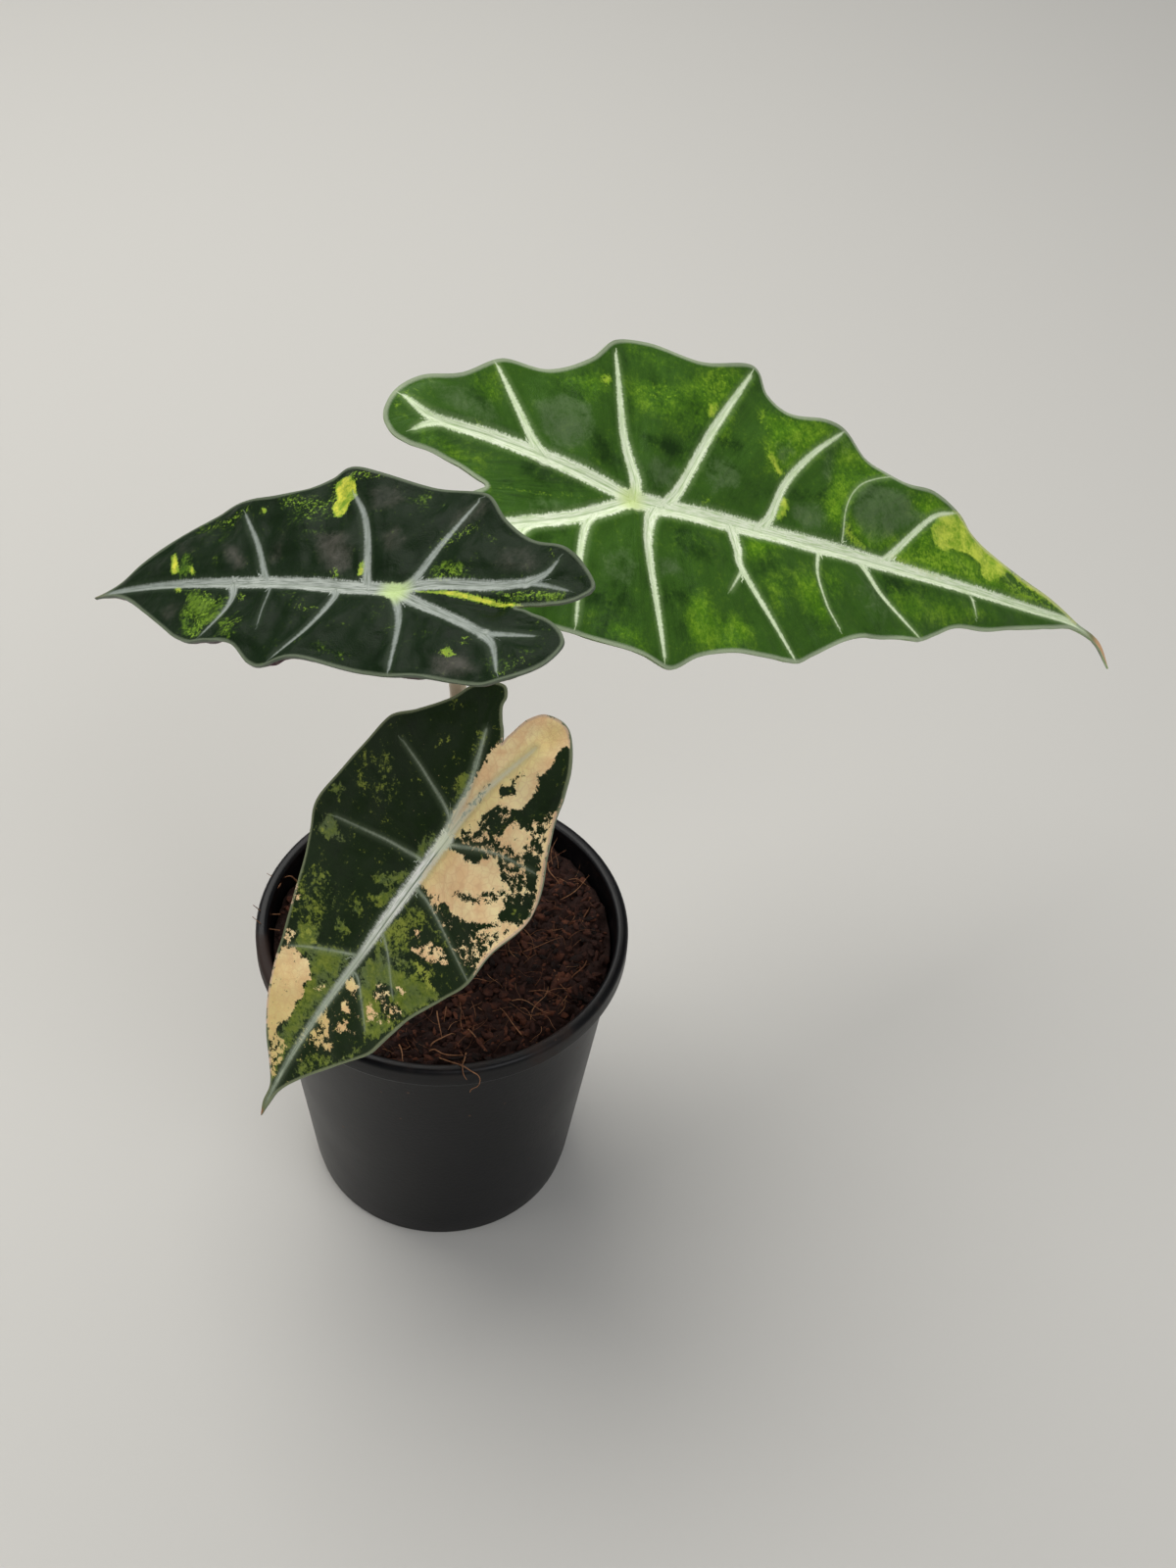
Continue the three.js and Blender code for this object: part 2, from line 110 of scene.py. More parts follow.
def smoothOver(piece, angle):
    pick([piece])
    bpy.ops.object.shade_smooth_by_angle(angle=radians(angle))


def belong(piece, node):
    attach(piece, "root")
    if node:
        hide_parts(node)


# the camera, where the photograph's stood
camera = dict(lens=49.995, sensor=36.0, eye=(0.0, -453.42, 655.37), down=50.0, turn=3.8031, lift=3.6181)


def placeCamera():
    clearSelection()
    bpy.ops.object.camera_add()
    view = bpy.context.object
    view.name = "plantView"
    down = radians(camera["down"])
    ahead, right = Vector((0, cos(down), -sin(down))), Vector((1, 0, 0))
    up = right.cross(ahead)
    turn = Matrix.Rotation(radians(-camera["turn"]), 3, up)
    ahead, right = turn @ ahead, turn @ right
    lift = Matrix.Rotation(radians(camera["lift"]), 3, right)
    ahead, up = lift @ ahead, lift @ up
    facing = Matrix((right, up, -ahead)).transposed().to_4x4()
    view.matrix_world = Matrix.Translation(Vector(camera["eye"]) * mm) @ facing
    view.data.sensor_fit = "VERTICAL"
    view.data.sensor_height = camera["sensor"]
    view.data.lens = camera["lens"]
    bpy.context.scene.camera = view


placeCamera()
print("camera placed")


def ink(red, green, blue):
    # a colour as it looks on screen, made linear
    def part(value):
        value = value / 255
        return value / 12.92 if value <= 0.04045 else ((value + 0.055) / 1.055) ** 2.4
    return (part(red), part(green), part(blue), 1.0)


class Tone:
    # one value of a shader; sums on it add Math nodes
    def __init__(self, finish, socket):
        self.finish = finish
        self.socket = socket

    def math(self, operation, *others):
        node = self.finish.tree.nodes.new("ShaderNodeMath")
        node.operation = operation
        for socket, value in zip(node.inputs, others):
            self.finish.feed(socket, value)
        return Tone(self.finish, node.outputs[0])

    def __add__(self, other):
        return self.math("ADD", self, other)

    def __sub__(self, other):
        return self.math("SUBTRACT", self, other)

    def __rsub__(self, other):
        return self.math("SUBTRACT", other, self)

    def __mul__(self, other):
        return self.math("MULTIPLY", self, other)

    def __gt__(self, other):
        return self.math("GREATER_THAN", self, other)

    def most(self, other):
        return self.math("MAXIMUM", self, other)

    def size(self):
        return self.math("ABSOLUTE", self)

    def ease(self, low, high):
        # 0 below low, 1 above high, soft between
        return self.finish.node(
            "MapRange", {"interpolation_type": "SMOOTHSTEP"},
            {"Value": self, "From Min": low, "From Max": high})

    __radd__ = __add__
    __rmul__ = __mul__


class Finish:
    def __init__(self, name, **settings):
        self.material = bpy.data.materials.new(name)
        self.material.use_nodes = True
        self.tree = self.material.node_tree
        self.shader = self.tree.nodes["Principled BSDF"]
        for socket, value in settings.items():
            self.feed(self.shader.inputs[socket.replace("_", " ")], value)

    def feed(self, socket, value):
        if isinstance(value, Tone):
            self.tree.links.new(value.socket, socket)
        else:
            socket.default_value = value

    def node(self, kind, settings, sockets, output=0):
        node = self.tree.nodes.new("ShaderNode" + kind)
        for key, value in settings.items():
            setattr(node, key, value)
        for key, value in sockets.items():
            self.feed(node.inputs[key], value)
        return Tone(self, node.outputs[output])

    def field(self, name, plain=False):
        return self.node("Attribute", {"attribute_name": name}, {}, "Fac" if plain else "Vector")

    def apart(self, vector):
        first = self.node("SeparateXYZ", {}, {"Vector": vector})
        parts = first.socket.node.outputs
        return [Tone(self, parts[i]) for i in range(3)]

    def together(self, x, y, z=0.0):
        return self.node("CombineXYZ", {}, {"X": x, "Y": y, "Z": z})

    def cloud(self, where, scale, detail=3.0, roughness=0.55, distortion=0.0):
        return self.node("TexNoise", {}, {
            "Vector": where, "Scale": scale, "Detail": detail,
            "Roughness": roughness, "Distortion": distortion})

    def unrest(self, *cloud):
        # a cloud that lies as much below nought as above it
        return self.cloud(*cloud) - 0.5

    def stretched(self, where, by):
        return self.node("VectorMath", {"operation": "MULTIPLY"}, {0: where, 1: by})

    def cells(self, where, scale, feature="F1"):
        return self.node(
            "TexVoronoi", {"feature": feature}, {"Vector": where, "Scale": scale}, "Distance")

    def mix(self, share, first, second, blend="MIX"):
        return self.node(
            "Mix", {"data_type": "RGBA", "blend_type": blend}, {0: share, 6: first, 7: second}, 2)

    def coat(self, colour=None, roughness=None, relief=None, depth=0.0, metres=0.001):
        for socket, value in (("Base Color", colour), ("Roughness", roughness)):
            if value is not None:
                self.feed(self.shader.inputs[socket], value)
        if relief is not None:
            normal = self.node("Bump", {}, {"Strength": depth, "Distance": metres, "Height": relief})
            self.feed(self.shader.inputs["Normal"], normal)
        return self.material


# Each blade lies in its own frame in millimetres: u runs from the stalk to the tip and
# v across. A row holds a point of the midrib, then the margin on the +v and the -v side.
# A lobe's row holds a point of its vein, then its outer and its inner margin.
# A vein holds its half width at either end, then the points that it runs through.
# Each outline of the paint holds how thickly its colour covers, then its corners.
rightPaint = dict(
    # the first outlines are a painted sheen: grey laid where highlights lie on the bumps
    paintedSheen=[
        (0.9, 119.5, 20, 95.5, 4.5, 90.5, 6.5, 86, 10.5, 83.5, 14.5, 86, 21.5, 92.5, 26, 101.5, 27, 110.5,
         26, 117, 22.5),
        (0.8, 18, 13.5, 16, 7, 7, 4, 3.5, 8, 5, 14.5),
        (0.7, 40.5, 17.5, 38.5, 11, 28.5, 7, 25, 11, 26.5, 21.5, 34, 21.5),
        (0.8, 61, 13.5, 71.5, 14, 74, 11, 72.5, 4, 65.5, 3.5, 59.5, 8),
        (0.9, -23.5, 29, -15, 25.5, -13.5, 18.5, -18, 12, -26.5, 9, -31.5, 15, -33, 23.5),
        (0.7, -64.5, 25, -55.5, 25.5, -46.5, 21, -41.5, 16, -46.5, 13, -62.5, 19),
        (0.6, 86.5, 40, 88, 36, 81.5, 30.5, 77.5, 22.5, 72.5, 19.5, 72, 26.5, 78.5, 38.5),
        (0.8, 53, 29.5, 59.5, 32, 62.5, 28.5, 57.5, 22.5, 52, 23.5),
        (0.8, 6, -17.5, 14, -15, 16, -20.5, 7, -24.5),
        (0.6, -34.5, -5, -22, -4, -15, -4.5, -25.5, -9, -38.5, -11.5),
        (0.6, -14, -18, -3.5, -16, 0, -22, -4.5, -30, -13.5, -28.5),
        (0.6, 103, -16.5, 95, -23, 87, -17.5, 84, -11.5, 88.5, -6.5, 97.5, -9),
    ],
    dark=[
        (0.8, 3, 20, 12, 22, 20.5, 20, 18, 16, 10.5, 15.5, 5, 16.5),
        (0.7, 29.5, 28, 36, 28, 41, 25.5, 38, 22, 32, 23.5),
        (0.6, 57, 16.5, 74.5, 17.5, 72.5, 14, 65.5, 13, 59.5, 13),
        (0.6, 12.5, -5.5, 26, -5.5, 31.5, -9.5, 26.5, -16, 17.5, -16.5, 12.5, -12),
        (0.6, -14.5, 3, -20, -0.5, -31, 0, -37, 3, -34.5, 8.5),
        (0.6, -16, 18.5, -9, 16, -4.5, 11, -10.5, 6.5, -16, 8),
        (0.5, 48.5, -8.5, 56.5, -7.5, 60.5, -11.5, 53, -16, 46.5, -14.5),
        (0.6, 99.5, -3, 112, -1.5, 119.5, -4, 108.5, -8.5, 99.5, -9),
        (0.6, 7, -26.5, 16.5, -26, 17, -29, 8.5, -31),
        (0.5, -17.5, -31.5, -4.5, -32.5, 0, -36, -8, -37.5, -18, -36),
    ],
    bright=[
        (0.8, 98.5, 30, 93, 27, 87, 22, 82.5, 16, 79, 17, 77, 20, 78.5, 25, 86, 37, 91, 35.5),
        (0.65, 77, 40.5, 73.5, 36.5, 63, 30, 53, 32, 54, 36.5),
        (0.4, -1, 49.5, 4.5, 50.5, 17, 47, 9.5, 44.5, -1, 47),
        (0.45, 44.5, 51.5, 27.5, 30.5, 21, 24, 15.5, 24.5, 6.5, 27.5, -2, 27.5, -2, 34.5, 5.5, 38, 16, 39,
         26, 46, 35.5, 50),
        (1, 78.5, 18.5, 81, 16.5, 80.5, 10.5, 78.5, 7, 75, 9.5, 74, 14, 75, 17.5),
        (0.9, 52.5, -1.5, 53.5, -4, 44, -11, 40.5, -9, 40, -6, 42, -3, 47.5, -1.5),
        (0.8, 63.5, -10.5, 68.5, -11.5, 70.5, -14.5, 69.5, -19.5, 72, -24, 69.5, -28, 64, -25, 58, -18,
         58.5, -13.5),
        (0.9, 39.5, -33.5, 38, -38.5, 32, -41.5, 22.5, -42.5, 18, -41, 16.5, -34.5, 18.5, -28.5, 22.5, -26,
         25, -30, 28.5, -33, 36, -31.5),
        (0.5, 71.5, -7.5, 75.5, -7.5, 79, -10, 79, -15.5, 74.5, -17.5, 72, -14),
        (0.5, 47, -16, 53.5, -14, 55.5, -19.5, 53.5, -27, 48.5, -23),
        (0.85, 104, 3, 121, 15, 135, 13, 158, 5, 172, 2, 120, 0.5),
        (0.7, 104, 6, 110, 10.5, 121.5, 16.5, 122.5, 13, 125, 11, 121.5, 5, 117, 3, 110, 3.5),
        (0.8, 31.5, 31, 35, 32.5, 36, 29.5, 32.5, 26, 29.5, 26.5),
        (0.5, -67.5, 10, -55, 7, -48.5, 4, -52, 1.5, -66, 5.5),
        (0.55, 149.5, -7, 135, -13, 118, -16.5, 104.5, -17.5, 98.5, -13.5, 99.5, -8.5, 139, -6.5),
        (0.5, -18, -39, -8.5, -39, -1.5, -42, 2.5, -48.5, -5, -48, -13.5, -44),
        (0.6, 128.5, 24.5, 124, 21.5, 112.5, 25.5, 123, 28, 127.5, 27),
        (0.5, -52.5, 27.5, -45, 30, -43, 24.5, -46.5, 21, -52, 23.5),
        (0.5, -25, 32.5, -15.5, 37, -8, 36.5, -9, 31.5, -15.5, 27, -22, 28.5),
        (0.6, 102, 30, 91, 26, 83, 17, 78.5, 19.5, 78, 30, 82, 40),
        (1, 82.5, 12, 85.5, 7, 92.5, 4, 100.5, 6, 104, 9.5, 92.5, 10),
        (0.9, 109.5, 24.5, 122, 27, 127.5, 23.5, 120, 19.5, 111, 21),
        (0.8, 102.5, 3.5, 109.5, 9, 121.5, 15.5, 121.5, 11.5, 132.5, 11.5, 144, 9, 151.5, 4, 143.5, 1, 129,
         0.5, 114.5, 1),
        (0.75, 79.5, 40, 73, 31, 58.5, 21, 49.5, 19.5, 50.5, 41, 59.5, 39.5),
        (0.5, 0, 37.5, 10, 40, 17.5, 35.5, 6.5, 29, -0.5, 31),
        (0.6, 20.5, 41.5, 32, 50, 48, 50, 35.5, 36, 24.5, 32),
    ],
    yellow=[
        (0.2, 79.5, 40, 73, 31, 58.5, 21, 49.5, 19.5, 50.5, 41, 59.5, 39.5),
        (0.22, 0, 37.5, 10, 40, 17.5, 35.5, 6.5, 29, -0.5, 31),
        (0.2, 20.5, 41.5, 32, 50, 48, 50, 35.5, 36, 24.5, 32),
        (0.25, 48.5, 40.5, 60, 42, 66.5, 39.5, 65.5, 22, 52.5, 20, 49.5, 27),
        (0.3, 109.5, 24.5, 122, 27, 127.5, 23.5, 120, 19.5, 111, 21),
        (0.28, 102.5, 3.5, 109.5, 9, 121.5, 15.5, 121.5, 11.5, 132.5, 11.5, 144, 9, 149.5, 3.5),
        (0.5, 184.5, 3, 180, 1.5, 171.5, 2, 165, 1, 159, 2.5, 155.5, 5, 158, 9),
        (0.6, 101.5, 3.5, 104.5, 5.5, 114, 3.5, 129.5, 2, 126, 0, 116.5, 0.5, 103, 2),
        (0.6, 80.5, 10, 83.5, 10, 86, 7, 94, 3.5, 88.5, 2, 83.5, 3.5, 80.5, 5.5),
        (0.5, 110, 5, 122, 9, 136, 10, 144, 7, 140, 3, 124, 3),
        (0.95, 57, 13.5, 59, 11, 58.5, 7.5, 53, 3.5, 55.5, 11.5),
        (0.8, 49, 26, 51.5, 25.5, 57.5, 19.5, 54, 19, 52, 22, 49.5, 23.5),
        (0.9, 28, 37, 31, 37.5, 31.5, 35, 29.5, 31.5, 27.5, 32.5),
        (0.7, -11.5, 36.5, -8.5, 37.5, -7, 35, -9.5, 32.5, -12, 33.5),
        (0.5, 48, 40, 51, 41.5, 51.5, 38.5, 49, 34.5, 47.5, 36),
        (0.5, -52, 15, -49.5, 16, -48, 14, -49.5, 12, -52, 13),
        (0.45, 24, 6, 28.5, 6.5, 28.5, 3, 24, 2),
        (0.35, 25, 46.5, 36, 50.5, 36, 42.5, 31, 38, 25, 39.5),
        (0.33, 1, 37.5, 16.5, 40, 16.5, 35, 1.5, 30),
        (0.36, -64, 25.5, -75, 20, -74, 14.5, -68, 20),
        (0.5, 1, 0, -31, -3.5, -47, -3.5, -47, -4.5, -31.5, -5),
        (0.8, 159.5, 12.5, 179.5, 7.5, 198.5, 1, 195, -0.5, 185.5, 3, 163.5, 8.5),
        (1, 121, 17, 125, 22, 134, 26, 143.5, 21, 155, 15.5, 161, 12.5, 157.5, 8.5, 149, 4.5, 146, 6, 145,
         10, 140.5, 12, 133, 12.5, 127, 10.5, 122.5, 12),
    ],
)
rightLeaf = dict(
    name="leafRight", node="leaf_right", slot="leaf_green",
    stalkPoint=(54.8, 46, 252.3), along=(0.873, 0.239, -0.426), across=(-0.016, 0.886, 0.464),
    size=1.012, droop=0.0004, lobeDroop=0.0018, quilt=1.5, wave=1.6, lumps=0.3, ridges=0.06, seed=11,
    soft=dict(paintedSheen=3.0, dark=3.0, bright=4.5, yellow=1.6, cream=1.0),  # how soft the outlines are
    blade=[
        (209, -13, 209, -13, 209, -13), (205, -4, 206, -3.4, 204, -4.6),
        (193, 0, 194, 1, 192, -2), (172, 0, 180, 6, 178, -5), (152, 0, 166, 10, 161, -9),
        (132, 0, 152, 15, 145, -13), (114, 0, 141, 20, 130, -15), (97, 0, 134, 25, 119, -20),
        (88, 0, 121, 29, 110, -24), (79, 0, 109, 29, 97, -26), (69, 0, 99, 32, 87, -27),
        (58, 0, 92, 35, 76, -31), (47, 0, 84, 41, 65, -37), (37, 0, 74, 42, 57, -41),
        (28, 0, 61, 41, 44, -42), (20, 0, 53, 46, 32, -42), (12, 0, 47, 54, 21, -45),
        (6, 0, 26, 49, 10, -51), (3, 0, 8, 52, 0, -49), (0, 0, -5, 49, -9, -47),
    ],
    sides=[
        dict(sign=1, bays=(7, 12, 16, 19, 22), lobe=[
            (0, 0, -5, 49, -47, -4), (-11, 3, -15, 40, -50, -2), (-22, 6, -27, 35, -54, 0.5),
            (-31, 8, -42, 35, -58, 2), (-43, 10.5, -55, 28, -63, 4),
            (-55, 12.5, -66, 26, -69, 5.5), (-64, 14.5, -73, 21, -74, 8.5),
            (-70, 15.5, -76, 14, -76, 14),
        ]),
        dict(sign=-1, bays=(8, 10, 13, 17, 21, 23), lobe=[
            (0, 0, -9, -47, -47, -4), (-11, -6, -20, -45, -50, -6),
            (-22, -11, -32, -44, -54, -8), (-34, -15, -45, -43, -58, -10.5),
            (-46, -18, -57, -41, -63, -13), (-57, -21, -67, -37, -68, -16),
            (-65, -23, -73, -31, -72, -20), (-70, -25, -74, -25, -74, -25),
        ]),
    ],
    veins=[
        (2.9, 2.5, (-2, 0), (30, 0), (60, 0), (95, 0)),
        (2.5, 0.2, (95, 0), (130, 0), (165, 0), (193, 0), (206, -6)),
        (1.5, 0.3, (97, 0), (103, 5), (120, 20), (131, 24.5)),
        (1.9, 0.4, (46, 0), (51, 5), (57, 17), (68, 29), (82, 40)),
        (2.1, 0.5, (11, 0), (17, 7), (28, 26), (37, 39), (46, 51)),
        (2.3, 0.5, (1, 0), (1, 6), (-3.5, 20), (-5.5, 44)),
        (2.4, 2.0, (1, 0), (-18, 5), (-31, 8), (-46, 11)),
        (2.0, 0.3, (-46, 11), (-62, 13.8), (-71, 19.5)),
        (1.4, 0.2, (-59, 13.2), (-64, 12), (-68, 9.8)),
        (1.7, 0.4, (-29, 7.5), (-33, 12), (-38, 21), (-44, 32)),
        (1.4, 0.3, (86, 0), (90, -4), (96, -12), (110, -22.5)),
        (0.7, 0.15, (71, 0), (68.5, -10), (70, -20), (74, -27)),
        (2.1, 0.4, (36, -1), (37.5, -8), (39, -16), (56, -40)),
        (0.45, 0.1, (37.5, -16), (32, -23)),
        (2.5, 0.5, (8, -1), (5.5, -6), (4, -18), (7.5, -48)),
        (0.6, 0.1, (137.5, 0), (139, -9)),
        (0.2, 0.08, (80, 4), (80.5, 12), (83, 18), (88, 23.5), (95, 27.5), (102, 30)),
        (2.3, 1.8, (1, 0), (-19, -9), (-40, -15), (-52, -19)),
        (1.8, 0.3, (-52, -19), (-62, -23), (-71, -33)),
        (1.0, 0.2, (-56, -20.5), (-63, -20), (-69, -20.5)),
        (1.6, 0.3, (-13, -6.5), (-17, -12), (-20, -24), (-21, -42)),
        (1.4, 0.3, (-34, -13.5), (-39, -20), (-45, -38)),
    ],
    paint=rightPaint,
)

leftPaint = dict(
    # the first outlines are a painted sheen: grey laid where highlights lie on the bumps
    paintedSheen=[
        (0.8, 34, 16.5, 27, 18, 20, 16, 17, 7, 19.5, 2.5, 26, 5, 31, 10.5),
        (0.6, 13, 17, 6.5, 21, 0.5, 16, 1, 9.5, 7, 9),
        (0.6, -22, 27, -13.5, 18, -7.5, 19.5, -6.5, 26, -16, 33),
        (0.6, -24, 15, -35, 17.5, -43.5, 11.5, -39, 7, -28, 7),
        (0.8, -22, -20.5, -31.5, -17, -39, -23.5, -31.5, -26.5, -25, -26.5),
        (0.8, 68.5, 14.5, 60.5, 13.5, 54, 6.5, 57.5, 3.5, 63.5, 8.5),
        (0.6, 90.5, 16.5, 80.5, 17, 76, 10, 84.5, 10.5),
        (0.6, 23.5, 31.5, 13, 34, 6.5, 28.5, 11, 23, 18.5, 23.5),
        (0.5, 50, 9.5, 46, 17.5, 40.5, 15, 41.5, 6.5, 47, 5),
        (0.6, 80.5, -10, 77, -3, 71.5, -5, 71.5, -12.5, 75, -15),
    ],
    bright=[
        (1, 82.5, 10, 79, 10.5, 75, 4.5, 76.5, 2.5, 80, 3.5),
        (0.75, 74, -1.5, 63, -3, 55, -5.5, 53.5, -11, 56.5, -15.5, 57, -19.5, 64, -18.5, 70, -12.5, 70.5,
         -6),
        (0.4, 54, 28.5, 35, 30, 29.5, 21.5, 31, 16, 37.5, 15),
        (0.35, 83, 21.5, 73, 21.5, 66, 16.5, 70.5, 14.5, 79, 17.5),
        (0.55, 53, -12, 45, -10.5, 41, -17, 46, -20, 51, -17),
        (0.5, -7, 9, -20, 10, -23, 5, -10.5, 3),
        (0.65, -29, 2.5, -52, 4, -51.5, 1, -36, -0.5),
        (0.4, -38.5, -20, -50, -16, -50.5, -23.5, -44, -25.5),
        (0.35, 3, -8, -1.5, -5, -6, -12.5, -3.5, -14),
        (0.35, 11, 32.5, 1, 32.5, -4, 27.5, 2, 25, 8.5, 27),
        (0.35, 16, -19, 7.5, -18.5, 3, -24, 12.5, -23.5),
    ],
    yellow=[
        (1, 37.5, 35.5, 34.5, 36.5, 31, 36, 28, 33.5, 26, 29.5, 27.5, 27, 27.5, 23.5, 29.5, 22, 32.5, 24.5,
         35, 28.5),
        (0.95, 87, 11, 85.5, 11.5, 82.5, 8.5, 80, 5.5, 80, 3.5, 82.5, 4),
        (0.9, 76.5, 6, 75, 6.5, 72.5, 3.5, 74.5, 3.5),
        (0.35, 74.5, -0.5, 65, -1.5, 56.5, -5, 57.5, -8.5, 61.5, -9, 67.5, -4, 72, -3),
        (0.38, 70.5, -8.5, 59, -9.5, 55.5, -13.5, 56.5, -19, 61, -19.5, 65, -15.5, 63, -13),
        (0.8, 80, 0.5, 76.5, 0, 75, -2, 77.5, -2.5),
        (0.4, 51, -15.5, 47.5, -13, 44.5, -11.5, 42.5, -14, 45.5, -19),
        (0.45, 53.5, -3, 49.5, -2.5, 48, -5.5, 50.5, -6.5),
        (0.75, 59, 25.5, 56.5, 25.5, 55, 23, 57.5, 23),
        (0.36, 54.5, 28, 37, 29, 37.5, 34.5, 33, 29.5, 34, 24.5, 37, 19, 42.5, 23.5, 51, 25.5),
        (0.35, 82, 21, 72, 24, 64.5, 27.5, 61, 26, 68, 20.5, 77.5, 18.5),
        (0.42, 34, 37, 28, 38, 18.5, 35.5, 19, 34, 28, 34.5),
        (0.85, 14.5, 6, 14.5, 9, 12.5, 7.5, 12, 4, 13.5, 3.5),
        (0.5, 23.5, 5, 20.5, 6.5, 19, 2.5, 21.5, 2.5),
        (0.42, -9, 5.5, -14, 9, -18, 8.5, -20.5, 6.5, -19, 5, -10.5, 3.5),
        (0.35, -18, 23, -19.5, 20, -14.5, 17, -11.5, 12.5, -8.5, 12.5, -7, 16, -9.5, 19.5),
        (1, -5.5, 0.5, -18.5, 1.5, -40, -1, -38, -2),
        (0.42, -29, 2.5, -46, 4, -52, 3, -47, 1, -38.5, 0, -32.5, 0.5),
        (0.4, -40, 17.5, -43.5, 16, -45, 13, -43, 13.5, -41, 15.5),
        (0.75, -24.5, -19.5, -27, -17.5, -30, -19.5, -27.5, -21),
        (0.5, -27.5, -14, -30.5, -12.5, -31.5, -15, -29, -16),
        (0.28, -49.5, -16.5, -50.5, -19.5, -46.5, -24.5, -43.5, -25.5, -41, -22.5),
        (0.3, 30, -6.5, 20.5, -6, 20, -9.5, 28, -10),
    ],
)
leftLeaf = dict(
    name="leafLeft", node="leaf_left", slot="leaf_dark",
    stalkPoint=(-13.1, -25, 278.4), along=(-0.818, 0.464, -0.34), across=(0.384, 0.881, 0.277),
    size=0.965, droop=0.001, lobeDroop=0.0004, quilt=1.6, wave=1.4, lumps=0.5, ridges=0.03, seed=23,
    soft=dict(paintedSheen=4.0, dark=2.0, bright=2.6, yellow=1.3, cream=1.0),
    blade=[
        (119, -1, 119, -1, 119, -1), (113, 0, 113.5, 1, 113, -1), (105, 0, 108, 4, 108, -1.5),
        (94, 1, 103, 9, 100, -4), (83, 1, 96, 15, 90, -9), (72, 1, 88, 21, 79, -14.5),
        (63, 1, 80, 26, 70, -19), (55, 1, 75, 29, 62, -21.5), (46, 1, 69, 30, 54, -21.5),
        (36, 1, 57, 30, 45, -22), (26, 0.5, 48, 33, 37, -27), (17, 0, 41, 38, 29, -29),
        (9, 0, 35, 41, 19, -26), (4, 0, 21, 38, 5, -27), (0, 0, 3, 35, -13, -29),
    ],
    sides=[
        dict(sign=1, bays=(8, 12, 15, 18), lobe=[
            (0, 0, 3, 35, -40, -2), (-7, 2, -16, 33, -43, -1.2), (-18, 3.5, -27, 24, -46, -0.8),
            (-29, 5, -36, 19.5, -49, 0), (-39, 6, -46, 18, -53, 1), (-47, 7.5, -54, 13.5, -57, 3),
            (-53, 8, -60, 7, -60, 7),
        ]),
        dict(sign=-1, bays=(7, 11, 14, 17), lobe=[
            (0, 0, -13, -29, -40, -2), (-11, -4, -24, -28.5, -43, -2.5),
            (-21, -7.5, -33, -28, -46, -3.5), (-32, -11, -43, -28, -50, -4.5),
            (-41, -13.5, -50, -25, -54, -6.5), (-48, -14.5, -56, -20, -58, -10),
            (-54, -14.5, -59, -14, -59, -14),
        ]),
    ],
    veins=[
        (2.3, 1.7, (-2, 0), (20, 0.3), (46, 1), (60, 1)),
        (1.7, 0.2, (60, 1), (83, 1), (105, 0.5), (115, -0.3)),
        (1.2, 0.25, (46, 1), (49, 5), (56, 14), (67, 25)),
        (1.5, 0.4, (9, 0), (11, 4), (16, 16), (21, 24), (28, 31)),
        (1.5, 0.3, (-1, 0), (-5, 4), (-9, 15), (-15, 30)),
        (1.9, 1.2, (0, 0), (-11, 3), (-29, 4), (-41, 6)),
        (1.1, 0.2, (-40, 5.8), (-45, 9), (-47, 13)),
        (0.8, 0.15, (-40, 5.8), (-46, 5.5), (-53, 4.6)),
        (1.3, 0.25, (59, 1), (56, -4), (55.5, -10), (58, -19)),
        (0.3, 0.1, (43.5, 0), (41, -6), (38.5, -15)),
        (1.3, 0.25, (20, 0), (18.5, -4), (21, -15), (27, -26)),
        (1.4, 0.3, (1, 0), (-3, -4), (-8, -12), (-13, -27)),
        (1.8, 1.1, (0, 0), (-11, -4), (-24, -8), (-35, -12)),
        (1.1, 0.25, (-35, -12), (-40, -16), (-45, -24)),
        (1.0, 0.15, (-35, -12), (-41, -11.5), (-50, -11)),
    ],
    paint=leftPaint,
)

